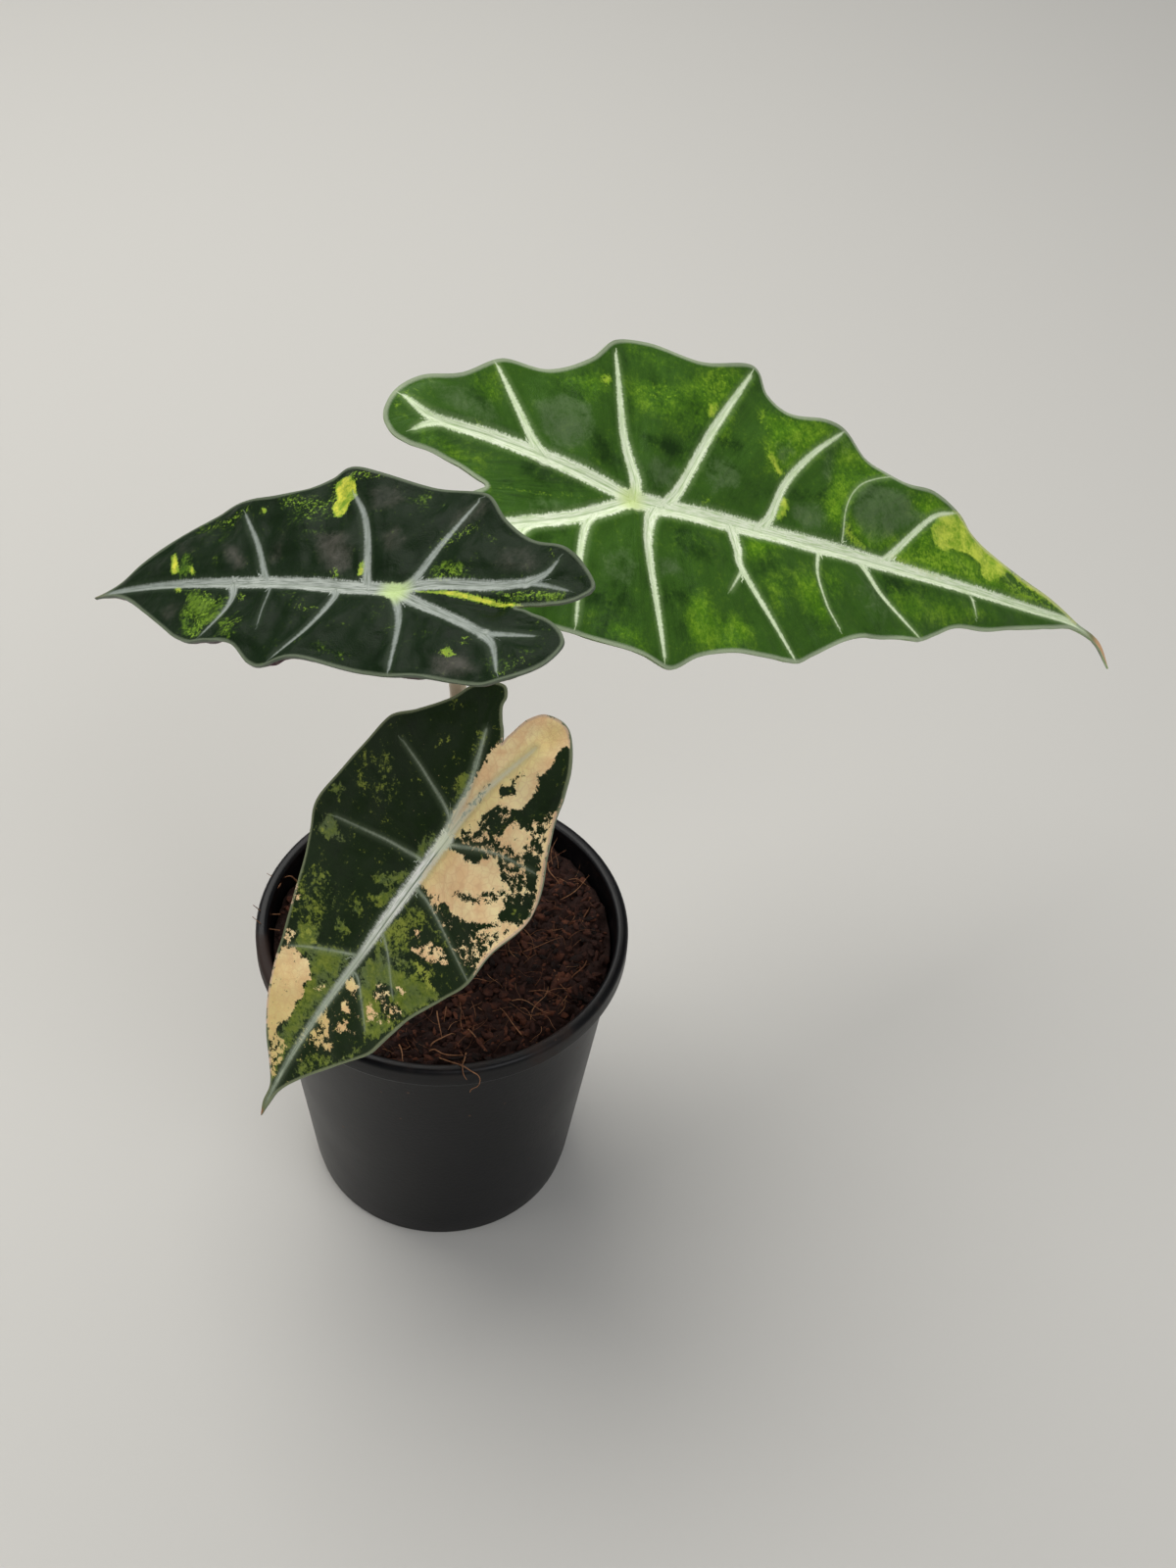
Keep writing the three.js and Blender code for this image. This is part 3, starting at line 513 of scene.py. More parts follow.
frontPaint = dict(
    bright=[
        (0.5, 17.5, -3.5, 20, -18, 22.5, -14.5, 22, -11, 26, -8.5, 29, -10, 31.5, -13.5, 30, -21.5, 34, -23,
         37.5, -15, 38.5, -10, 37.5, -5.5, 38, -1.5, 27.5, -1.5),
        (1, 33.5, -28, 44, -24, 53.5, -22, 58.5, -20, 61.5, -17, 48.5, -2, 40.5, -4, 38, -1.5, 37.5, -5.5,
         38.5, -10, 37.5, -15, 33.5, -22.5),
        (0.1, 48.5, -10, 46, -10.5, 43, -13, 43.5, -16, 46, -16.5, 44.5, -20, 46.5, -22, 49.5, -22, 52.5,
         -20, 50.5, -14.5, 50.5, -11.5),
        (0.6, 92, -4.5, 87.5, -3, 81.5, -4.5, 74, -13.5, 63, -17.5, 70, -17.5, 78, -14),
        (0.85, 46, 3.5, 46, 1.5, 98.5, 1.5, 85, 7.5, 81.5, 8, 77.5, 6.5, 72, 8, 67.5, 7, 64, 9, 62, 8, 59.5,
         11, 58.5, 17, 54, 13.5),
        (1, 47.5, 15.5, 51, 13.5, 52.5, 11.5, 56.5, 14.5, 58, 18.5, 53, 21.5, 50, 19.5),
        (1, 26.5, 34, 24, 35, 21, 34.5, 18.5, 32.5, 21, 27, 21, 24, 25.5, 30.5),
        (0.7, 13, 37, 10.5, 37.5, 8.5, 35.5, 9, 32.5, 12.5, 33.5),
        (1, 23, 10, 21, 9.5, 19.5, 8, 20, 5.5, 23, 7),
        (0.9, 13.5, 4, 14.5, 2.5, 18, 3, 20, 5, 19.5, 6.5),
        (1, 28, 8, 20, 2.5, 26.5, 2.5, 28, 5),
        (1, -0.5, 3.5, 0.5, 2, 9.5, 3, 9, 5, 5, 5.5),
        (0.8, 35, 10.5, 31.5, 10.5, 31.5, 8.5, 35, 6.5, 38, 8.5),
        (0.75, 41, 12.5, 40, 10, 41.5, 7, 44, 8, 44, 11),
        (0.4, 31.5, 26, 32.5, 18.5, 39.5, 13.5, 48, 18, 52, 24.5, 38.5, 31.5),
        (0.3, -1, 36.5, -8.5, 30, -6.5, 22, 4.5, 17.5, 6.5, 24, 6.5, 32),
        (0.9, -22, 6, -18.5, 4.5, -14, 4, -12, 5, -16, 7.5, -20.5, 7.5),
        (0.5, -32.5, 12.5, -34.5, 11.5, -32.5, 8.5, -27.5, 7.5, -26, 8.5),
    ],
    yellow=[
        (0.6, 30.5, -13.5, 30, -20.5, 32.5, -24, 33, -27.5, 35, -24.5, 34.5, -21, 33.5, -17.5),
        (0.6, 84.5, 1.5, 73, 2, 70, 1, 82.5, 0),
        (0.5, 48, 15.5, 50, 15.5, 52.5, 12, 55.5, 14, 53, 16.5, 56.5, 18.5, 54.5, 20.5, 50.5, 19),
        (0.4, 26, 34, 23.5, 34, 22, 32.5, 24, 30, 26, 31),
        (0.45, 27.5, 7, 25, 5.5, 25.5, 4, 26, 2.5, 28, 5),
    ],
    cream=[
        (1, -51, -9, -48, -13, -46, -11.5, -43, -11.5, -40, -13, -35.5, -11.5, -32.5, -13.5, -24.5, -13,
         -20, -7, -8, -2.5, -4.5, -3, -2, -0.5, -5, 2, -9, 3, -31.5, 5, -45.5, 2.5, -49, -0.5, -51, -5),
        (0.45, -5.5, 1, -17, 1, -24, -0.5, -21.5, -1.5, -17, -1.5, -6, 0),
        (0.1, -28, -8, -26.5, -9, -23, -6.5, -23, -4.5, -24.5, -3.5, -27, -5.5),
        (0.3, -27.5, -5, -31, -5.5, -33.5, -7, -33, -8, -27.5, -6),
        (0.42, -30.5, -20, -23, -25.5, -13.5, -30, -9.5, -31, -6, -29.5, -3.5, -27.5, -4.5, -23, -9.5, -18,
         -3, -4, -8, -2.5, -20, -7, -22.5, -9.5, -21.5, -14.5, -23, -16.5),
        (0.2, -20, -6.5, -20.5, -9, -16.5, -13.5, -13.5, -11.5, -12.5, -8.5, -15, -6.5),
        (0.95, -21, -20.5, -16, -22, -16, -18, -18.5, -18, -14, -16, -15, -14.5, -18.5, -14, -21, -15.5),
        (0.9, -10.5, -2.5, -14.5, -4.5, -11.5, -6.5, -8.5, -3.5),
        (0.1, -17.5, -23.5, -18.5, -28, -13.5, -30.5, -9, -31.5, -10.5, -29),
        (1, -2, -27, 2.5, -27.5, 3, -29, 10.5, -21.5, 11.5, -18, 13, -16.5, 12.5, -13, 15.5, -8.5, 14, -1,
         10, 0, 2, -1, 0, -2.5, -1.5, -5.5, -2.5, -11.5, -8, -14.5, -9, -17, -5.5, -22, -5, -24.5),
        (0.42, -2.5, -27.5, 7.5, -17, 8, -13, 6.5, -12.5, 4, -14.5, 2.5, -18.5, -1.5, -20.5, -5, -24.5),
        (0.45, 14, -2.5, 12, -8, 12.5, -10.5, 14.5, -8.5),
        (0, 14, -10.5, 11.5, -12.5, 12.5, -15, 15, -15.5, 16, -14, 15.5, -11.5),
        (0.4, 15.5, -8.5, 14.5, -11.5, 15, -15.5, 11.5, -18, 10.5, -21.5, 6, -26.5, 3, -29, 0, -27.5, -6,
         -29, -9, -31, -7.5, -33.5, -4, -35, 10.5, -33, 19, -34, 19, -30, 21.5, -27.5, 18, -15.5, 17.5,
         -10.5),
        (0.05, -7, -33.5, -4, -34.5, 0, -33, 2.5, -27.5, -3, -28.5, -7, -30.5),
        (0.12, 7.5, -26, 11, -26.5, 14, -24.5, 18, -21, 18, -18, 16, -16, 11.5, -19),
        (0.62, 11, -25.5, 8.5, -26, 7, -28, 4, -28, 1, -31, 0, -34.5, 4, -34, 7.5, -32),
        (1, -36.5, -21, -29.5, -23, -19, -30, -3, -36.5, 11.5, -34, 22, -34, 21, -33, 11.5, -32, -4, -34.5,
         -19, -28, -29, -21.5),
        (0.58, 29.5, -12, 23, -16, 22, -19, 22.5, -21.5, 24.5, -24, 28.5, -20, 30.5, -13.5),
        (0.5, 25, -8.5, 23.5, -10, 25, -13, 27, -12, 26, -10),
        (0.75, 29, -32, 26, -32, 25.5, -33.5, 28.5, -33),
        (0.5, 54, -10, 51.5, -11.5, 52.5, -18.5, 55, -17.5, 58, -14),
        (0.4, 48.5, -10, 46, -10.5, 43, -13, 43.5, -16, 46, -16.5, 44.5, -20, 46.5, -22, 49.5, -22, 52.5,
         -20, 50.5, -14.5, 50.5, -11.5),
        (0.8, 41.5, -15.5, 40, -17.5, 40, -19.5, 42, -18.5),
        (0.2, 51.5, -3.5, 52, -6.5, 56, -11, 60.5, -14.5, 64.5, -15.5, 89, -3, 90, -1, 85, 0, 64, 0, 53,
         -1.5),
        (0.95, 55, -0.5, 52, -2, 53, -5.5, 56, -4.5),
        (0.95, 60.5, -4, 58.5, -5, 60, -7.5, 61.5, -5.5),
        (0.85, 67.5, -1, 68.5, -4, 72, -6.5, 73, -5.5, 71, -3, 71, 0),
        (0.6, 75.5, -1, 72, -3, 73.5, -5.5, 79, -5.5, 78, -2.5),
        (0.85, 75.5, -6.5, 73, -8, 73.5, -10, 76, -8.5),
        (0.8, 66.5, -7, 63.5, -8.5, 65, -10.5, 67.5, -9),
        (0.85, 60, 21, 58.5, 12.5, 62, 8, 66.5, 9, 66.5, 7.5, 69.5, 7, 72, 8, 77.5, 6.5, 83, 9, 89.5, 7,
         89.5, 8.5, 82.5, 15.5, 78.5, 18, 66.5, 22.5),
        (0.55, 85.5, 7.5, 84.5, 4.5, 85, 2.5, 98.5, 0.5, 98, 3, 94.5, 6, 90.5, 8),
        (0.5, 64, 6.5, 60.5, 5, 60, 2.5, 64, 4, 66, 5),
        (0.6, 57.5, 24, 55, 22, 56, 20, 59, 20, 60, 22),
        (0.55, 44.5, 29, 42.5, 27.5, 43.5, 25.5, 47, 25, 48, 26.5),
    ],
)
frontLeaf = dict(
    name="leafFront", node="leaf_front", slot="leaf_variegated",
    stalkPoint=(0, -40, 197.3), along=(-0.55, -0.278, -0.788), across=(-0.647, 0.738, 0.191),
    size=1.0, droop=0.0008, lobeDroop=0.0003, quilt=1.5, wave=1.4, lumps=0.35, ridges=0.03, seed=37,
    soft=dict(paintedSheen=2.0, dark=2.0, bright=2.0, yellow=1.6, cream=1.5),
    blade=[
        (112, -2, 112, -2, 112, -2), (107, -1, 107.5, 0, 107, -2), (99, 0, 101, 1, 101, -2.5),
        (89, 0, 95, 5, 94, -5), (78, 0.5, 88, 11, 86, -9), (67, 0.5, 79, 17, 77, -14),
        (57, 0, 70, 21, 70, -18), (49, 0, 65, 22.5, 64, -21), (43, 0, 59, 23.5, 55, -23),
        (34, 0, 49, 26, 45, -25), (24, 0, 37, 31, 34, -29), (15, 0, 28, 36, 24, -32.5),
        (7, 0, 20, 39, 11, -33), (3, 0, 8, 38, -2, -35), (0, 0, -3, 38, -14, -32),
    ],
    sides=[
        dict(sign=1, bays=(8, 12, 15, 18), lobe=[
            (0, 0, -3, 38, -34, 4), (-8, 3, -16, 36, -35, 4.5), (-16, 5, -24, 30, -37, 6),
            (-24, 7, -33, 24.5, -39, 8), (-31, 9.5, -40, 21.5, -42, 10.3),
            (-38, 12, -45, 17.5, -45, 11), (-43, 14, -47, 13.5, -47, 13.5),
        ]),
        dict(sign=-1, bays=(7, 11, 14, 17), lobe=[
            (0, 0, -14, -32, -34, 4), (-8, -1, -22, -28, -36, 4), (-17, -2, -29, -23, -39, 3.5),
            (-26, -3, -36, -21, -42, 3), (-34, -4.5, -43, -18, -45, 2),
            (-42, -6, -49, -12, -49, -1), (-47, -7, -51, -7, -51, -7),
        ]),
    ],
    veins=[
        (2.4, 1.4, (-2, 0), (12, 0), (30, 0), (44, 0)),
        (1.4, 0.3, (44, 0), (67, 0.5), (89, 0.2), (108, -1.2)),
        (0.5, 0.05, (45, 0), (47, 3), (54, 13), (60, 20)),
        (0.6, 0.05, (8, 0), (9, 4), (12, 15), (18, 31)),
        (0.6, 0.05, (-4, 1), (-8, 5), (-12, 18), (-14, 28)),
        (1.6, 0.3, (0, 0), (-7, 2), (-18, 4), (-34, 10)),
        (0.5, 0.05, (51, 0), (50.5, -3), (54, -8), (60, -15)),
        (0.6, 0.05, (17, 0), (16, -3), (17, -12), (23, -32)),
        (0.65, 0.05, (0, 0), (-1.5, -2.5), (-10, -15), (-15, -28)),
        (1.5, 0.3, (0, 0), (-11, 0), (-22, -1), (-40, -5)),
        (0.35, 0.1, (33, 0), (37, -8), (44, -16)),
    ],
    paint=frontPaint,
)

bladeForm = dict(
    thinnest=0.75,  # at the edge
    fullness=1.7,  # a blade is this much thicker from this far inside its edge
    foldSlope=0.16,
    foldSoftness=3.0,
    arch=0.0022,
    bow=0.08,
    bowReach=40.0,
    perRow=10,
    lines=56,
    crowding=1.2,  # grid lines lie closer near the rib
    swollenWidth=30.0,  # a half blade as wide as this has full bays and waves
    taper=0.6,
    flare=0.55,  # a side vein widens where it leaves a thicker one
    flareReach=2.2,
    groove=0.5,  # how far a vein lies below the face round it
    shoulder=0.22,
    shoulderAt=1.6,
    shoulderWidth=1.4,
    lumpSizes=((0.8, 15), (0.2, 7)),  # share and size of each
    rowLength=9.0,
)


def cubic(w, here, there, leave, arrive):
    # a smooth way from here to there, with the direction that it has at either end
    return ((2 * w ** 3 - 3 * w ** 2 + 1) * here + (w ** 3 - 2 * w ** 2 + w) * leave
            + (3 * w ** 2 - 2 * w ** 3) * there + (w ** 3 - w ** 2) * arrive)


def splineAt(points, at, ahead=None, behind=None):
    # a smooth curve through evenly numbered points; it can lead on to a point at either end
    points = np.asarray(points, float)
    ahead = 2 * points[0] - points[1] if ahead is None else ahead
    behind = 2 * points[-1] - points[-2] if behind is None else behind
    ends = np.vstack([ahead, points, behind])
    start = np.clip(np.floor(at).astype(int), 0, len(points) - 2)
    w = (at - start)[:, None]
    before, here, there, after = (ends[start + k] for k in range(4))
    return cubic(w, here, there, (there - before) / 2, (after - here) / 2)


def finePath(points, steps):
    return splineAt(points, np.linspace(0, len(points) - 1, (len(points) - 1) * steps + 1))


def nearPath(spots, path):
    # signed distance to a path of short straight lengths, and the share run along it
    best = np.full(len(spots), 1e9)
    signed, share = np.zeros(len(spots)), np.zeros(len(spots))
    for k in range(len(path) - 1):
        run = path[k + 1] - path[k]
        length = max(1e-9, float(run @ run))
        h = np.clip(((spots - path[k]) @ run) / length, 0, 1)
        off = spots - path[k] - h[:, None] * run
        distance = np.hypot(off[:, 0], off[:, 1])
        closer = distance < best
        cross = run[0] * off[:, 1] - run[1] * off[:, 0]
        best = np.where(closer, distance, best)
        signed = np.where(closer, np.where(cross < 0, -distance, distance), signed)
        share = np.where(closer, (k + h) / (len(path) - 1), share)
    return signed, share


def softLumps(x, y, size, seed):
    # smooth random waves about `size` across, of unit strength
    random = Random(seed)
    total = np.zeros_like(x)
    waves = 16
    for _ in range(waves):
        heading, phase = random.uniform(0, 2 * pi), random.uniform(0, 2 * pi)
        length = size * random.uniform(0.7, 1.6)
        total += np.sin((x * cos(heading) + y * sin(heading)) * 2 * pi / length + phase)
    return total / (waves / 2) ** 0.5


def bladeFrame(leaf):
    along = Vector(leaf["along"]).normalized()
    across = Vector(leaf["across"])
    across = (across - along * across.dot(along)).normalized()
    up = along.cross(across)
    return along, across, (up if up.z > 0 else -up)


def bladeHeight(leaf, u, v):
    form = bladeForm
    sag = np.where(u > 0, leaf["droop"], leaf["lobeDroop"])
    fold = np.sqrt(v * v + form["foldSoftness"] ** 2) - form["foldSoftness"]
    return form["foldSlope"] * fold - form["arch"] * v * v - sag * u * u


def bayPhase(bays, s, last):
    marks = np.array([0, *bays, last], float)
    index = np.clip(np.searchsorted(marks, s, side="left") - 1, 0, len(marks) - 2)
    return (s - marks[index]) / (marks[index + 1] - marks[index])


def sizedRows(leaf, side):
    # the rows in millimetres; a lobe's vein runs out straight into the lobe's end
    blade = np.array(leaf["blade"], float) * leaf["size"]
    lobe = np.array(side["lobe"], float) * leaf["size"]
    lobe[-1, :2] = (lobe[-2, :2] + lobe[-1, 2:4]) / 2
    return blade, lobe


def marginAt(leaf, side, inner, s):
    # outer and inner margins run into each other at the lobe's end and in the notch
    blade, lobe = sizedRows(leaf, side)
    if inner:
        other = leaf["sides"][0 if side["sign"] < 0 else 1]
        across = sizedRows(leaf, other)[1]
        return splineAt(lobe[:, 4:6], s, across[1, 4:6], lobe[-2, 2:4])
    first = 2 if side["sign"] > 0 else 4
    outer = np.vstack([blade[:, first:first + 2], lobe[1:, 2:4]])
    return splineAt(outer, s, None, lobe[-2, 4:6])


def patchShape(leaf, side, inner, s, t):
    # place in the blade's frame for rows s and shares t from the rib to the margin
    form = bladeForm
    blade, lobe = sizedRows(leaf, side)
    bladeRows, lobeRows = len(blade) - 1, len(lobe) - 1
    margin = marginAt(leaf, side, inner, s)
    if inner:
        rib = splineAt(lobe[:, :2], s)
        bow = puff = 0.0
    else:
        last = bladeRows + lobeRows
        onBlade = s <= bladeRows
        rib = np.where(onBlade[:, None], splineAt(blade[:, :2], np.minimum(s, bladeRows)),
                       splineAt(lobe[:, :2], np.maximum(s - bladeRows, 0)))
        width = np.hypot(*(margin - rib).T)
        reach = np.clip(rib[:, 0] / form["bowReach"], 0, 1)
        bow = form["bow"] * reach * 4 * t * (1 - t) * width
        phase = bayPhase(side["bays"], s, last)
        strength = np.minimum(1, width / form["swollenWidth"])
        swell = np.sin(pi * np.minimum(1, t * 1.15)) ** 0.8
        puff = leaf["quilt"] * strength * np.sin(pi * phase) ** 2 * swell
        puff = puff + leaf["wave"] * strength * t ** 3 * np.sin(2 * pi * phase)
    u = rib[:, 0] + (margin[:, 0] - rib[:, 0]) * t - bow
    v = rib[:, 1] + (margin[:, 1] - rib[:, 1]) * t
    return u, v, bladeHeight(leaf, u, v) + puff


def paintField(outlines, spots, softness):
    # how thickly a colour covers each spot; later outlines go over earlier ones
    field = np.zeros(len(spots))
    for cover, *corners in outlines:
        ring = np.array(corners, float).reshape(-1, 2)
        ring = np.vstack([ring, ring[:1]])
        low, high = ring.min(0) - softness, ring.max(0) + softness
        near = np.all((spots > low) & (spots < high), axis=1)
        x, y = spots[near].T
        distance = np.full(len(x), 1e9)
        inside = np.zeros(len(x), bool)
        for (x0, y0), (x1, y1) in zip(ring, ring[1:]):
            run = max(1e-9, (x1 - x0) ** 2 + (y1 - y0) ** 2)
            h = np.clip(((x - x0) * (x1 - x0) + (y - y0) * (y1 - y0)) / run, 0, 1)
            distance = np.minimum(distance, np.hypot(x - x0 - h * (x1 - x0), y - y0 - h * (y1 - y0)))
            if y0 != y1:
                crossed = (y0 > y) != (y1 > y)
                inside ^= crossed & (x < x0 + (y - y0) * (x1 - x0) / (y1 - y0))
        share = np.clip(np.where(inside, distance, -distance) / softness / 2 + 0.5, 0, 1)
        share = share * share * (3 - 2 * share)
        field[near] += (cover - field[near]) * share
    return field


def dressPatch(leaf, patch, u, v, height, bay, inset):
    # veins first: which is nearest, how wide it is, and what it does to the surface
    form = bladeForm
    spots = np.stack([u, v], 1)
    best = np.full(len(u), 1e9)
    side, width, run = np.zeros(len(u)), np.ones(len(u)), np.zeros(len(u))
    sunk = np.zeros(len(u))
    for thick, thin, *points in leaf["veins"]:
        path = finePath(np.array(points, float) * leaf["size"], 8)
        signed, share = nearPath(spots, path)
        length = np.hypot(*np.diff(path, axis=0).T).sum()
        half = thin + (thick - thin) * (1 - share) ** form["taper"]
        distance = np.abs(signed)
        reach = np.abs(path[-1] - path[0])
        main = reach[0] > 2 * reach[1]  # the midrib and the veins of the lobes
        flare = 0 if main else form["flare"] * min(thick, 2) * np.exp(-share * length / form["flareReach"])
        closer = distance - half - flare < best
        best = np.where(closer, distance - half - flare, best)
        side = np.where(closer, signed, side)
        width = np.where(closer, half + flare, width)
        run = np.where(closer, share * length, run)
        near = np.clip(distance / (half * 1.4 + 0.5), 0, 1)
        strength = np.minimum(1, half / 2.0)
        sunk = np.maximum(sunk, strength * (1 - near) ** 1.3)
    calm = np.clip(best / 4, 0, 1) * np.clip(inset / 3, 0, 1)
    lumps = sum(share * softLumps(u, v, size, leaf["seed"] + k)
                for k, (share, size) in enumerate(form["lumpSizes"]))
    ridge = softLumps(bay[0] * 2.2, bay[1] * 0.35, 6, leaf["seed"] + 2)
    height = height - form["groove"] * sunk + (lumps * leaf["lumps"] + leaf["ridges"] * ridge) * calm
    shoulder = np.exp(-((best - form["shoulderAt"]) / form["shoulderWidth"]) ** 2)
    height = height + form["shoulder"] * shoulder * np.clip(inset / 2, 0, 1)
    axes = np.array(bladeFrame(leaf))
    setPoints(patch, (spots @ axes[:2] + height[:, None] * axes[2] + np.array(leaf["stalkPoint"])) * mm)
    tint = {kind: paintField(leaf["paint"].get(kind, []), spots, softness)
            for kind, softness in leaf["soft"].items()}
    giveField(patch, "place", np.stack([u, v, np.zeros_like(u)], 1))
    giveField(patch, "vein", np.stack([side, np.abs(side), width], 1))
    giveField(patch, "flow", np.stack([run, bay[0], bay[1]], 1))
    giveField(patch, "warmTint", np.stack([tint["cream"], tint["yellow"], tint["bright"]], 1))
    # the dark tint, the painted sheen and the ridges, for the finish to read
    giveField(patch, "darkTintAndSheen", np.stack([tint["dark"], tint["paintedSheen"], ridge], 1))
    giveField(patch, "inset", inset)


def rowCount(leaf, side, inner):
    return len(side["lobe"]) - 1 + (0 if inner else len(leaf["blade"]) - 1)


def quarters(leaf):
    # a blade is made in four: on either side, the blade with the lobe's outer half, and its inner half
    return [(side, inner) for side in leaf["sides"] for inner in (False, True)]


def bladeOutline(leaf):
    outline = []
    for side, inner in quarters(leaf):
        rows = rowCount(leaf, side, inner)
        outline.append(marginAt(leaf, side, inner, np.linspace(0, rows, rows * 8 + 1)))
    return outline


def bladePatch(leaf, side, inner, outline):
    form = bladeForm
    columns, lines = rowCount(leaf, side, inner) * form["perRow"], form["lines"]
    clearSelection()
    bpy.ops.mesh.primitive_grid_add(x_subdivisions=columns, y_subdivisions=lines, size=2)
    patch = bpy.context.object
    flat = readPoints(patch)
    s = np.rint((flat[:, 0] + 1) / 2 * columns) / form["perRow"]
    t = (np.rint((flat[:, 1] + 1) / 2 * lines) / lines) ** form["crowding"]
    u, v, height = patchShape(leaf, side, inner, s, t)
    inset = np.full(len(u), 1e9)
    for path in outline:
        inset = np.minimum(inset, np.abs(nearPath(np.stack([u, v], 1), path)[0]))
    ribU, ribV, _ = patchShape(leaf, side, inner, s, np.zeros_like(t))
    row = s + (len(leaf["blade"]) - 1 if inner else 0)
    bay = (row * form["rowLength"], np.hypot(u - ribU, v - ribV))
    dressPatch(leaf, patch, u, v, height, bay, inset)
    return patch


def bladePiece(leaf, face, back, edge):
    form = bladeForm
    outline = bladeOutline(leaf)
    blade = joinPieces([bladePatch(leaf, *quarter, outline) for quarter in quarters(leaf)], leaf["name"])
    closeUp(blade, 0.004)
    up = bladeFrame(leaf)[2]
    facing = sum(face.normal.dot(up) * face.area for face in blade.data.polygons)
    if facing < 0:
        inEditMode(blade, bpy.ops.mesh.flip_normals)
    wear(blade, face, back, edge)
    thickest = form["thinnest"] + form["fullness"]
    group = blade.vertex_groups.new(name="body")
    insets = [point.value for point in blade.data.attributes["inset"].data]
    for i, inset in enumerate(insets):
        group.add([i], inset / form["fullness"], "REPLACE")
    pick([blade])
    wall = blade.modifiers.new("bladeWall", "SOLIDIFY")
    wall.thickness = thickest * mm
    wall.offset = -1
    wall.vertex_group = "body"
    wall.thickness_vertex_group = form["thinnest"] / thickest
    wall.material_offset = 1
    wall.material_offset_rim = 2
    bpy.ops.object.modifier_apply(modifier="bladeWall")
    smoothOver(blade, 55)
    belong(blade, leaf["node"])
    print(leaf["name"], "made:", len(blade.data.polygons), "faces")


bladeClouds = dict(
    # how often in a millimetre, detail, roughness and distortion
    clouds=(0.05, 3, 0.5), patches=(0.19, 5, 0.62, 0.4), flecks=(0.95, 4, 0.68, 0.6), grains=(2.8, 3, 0.6),
)


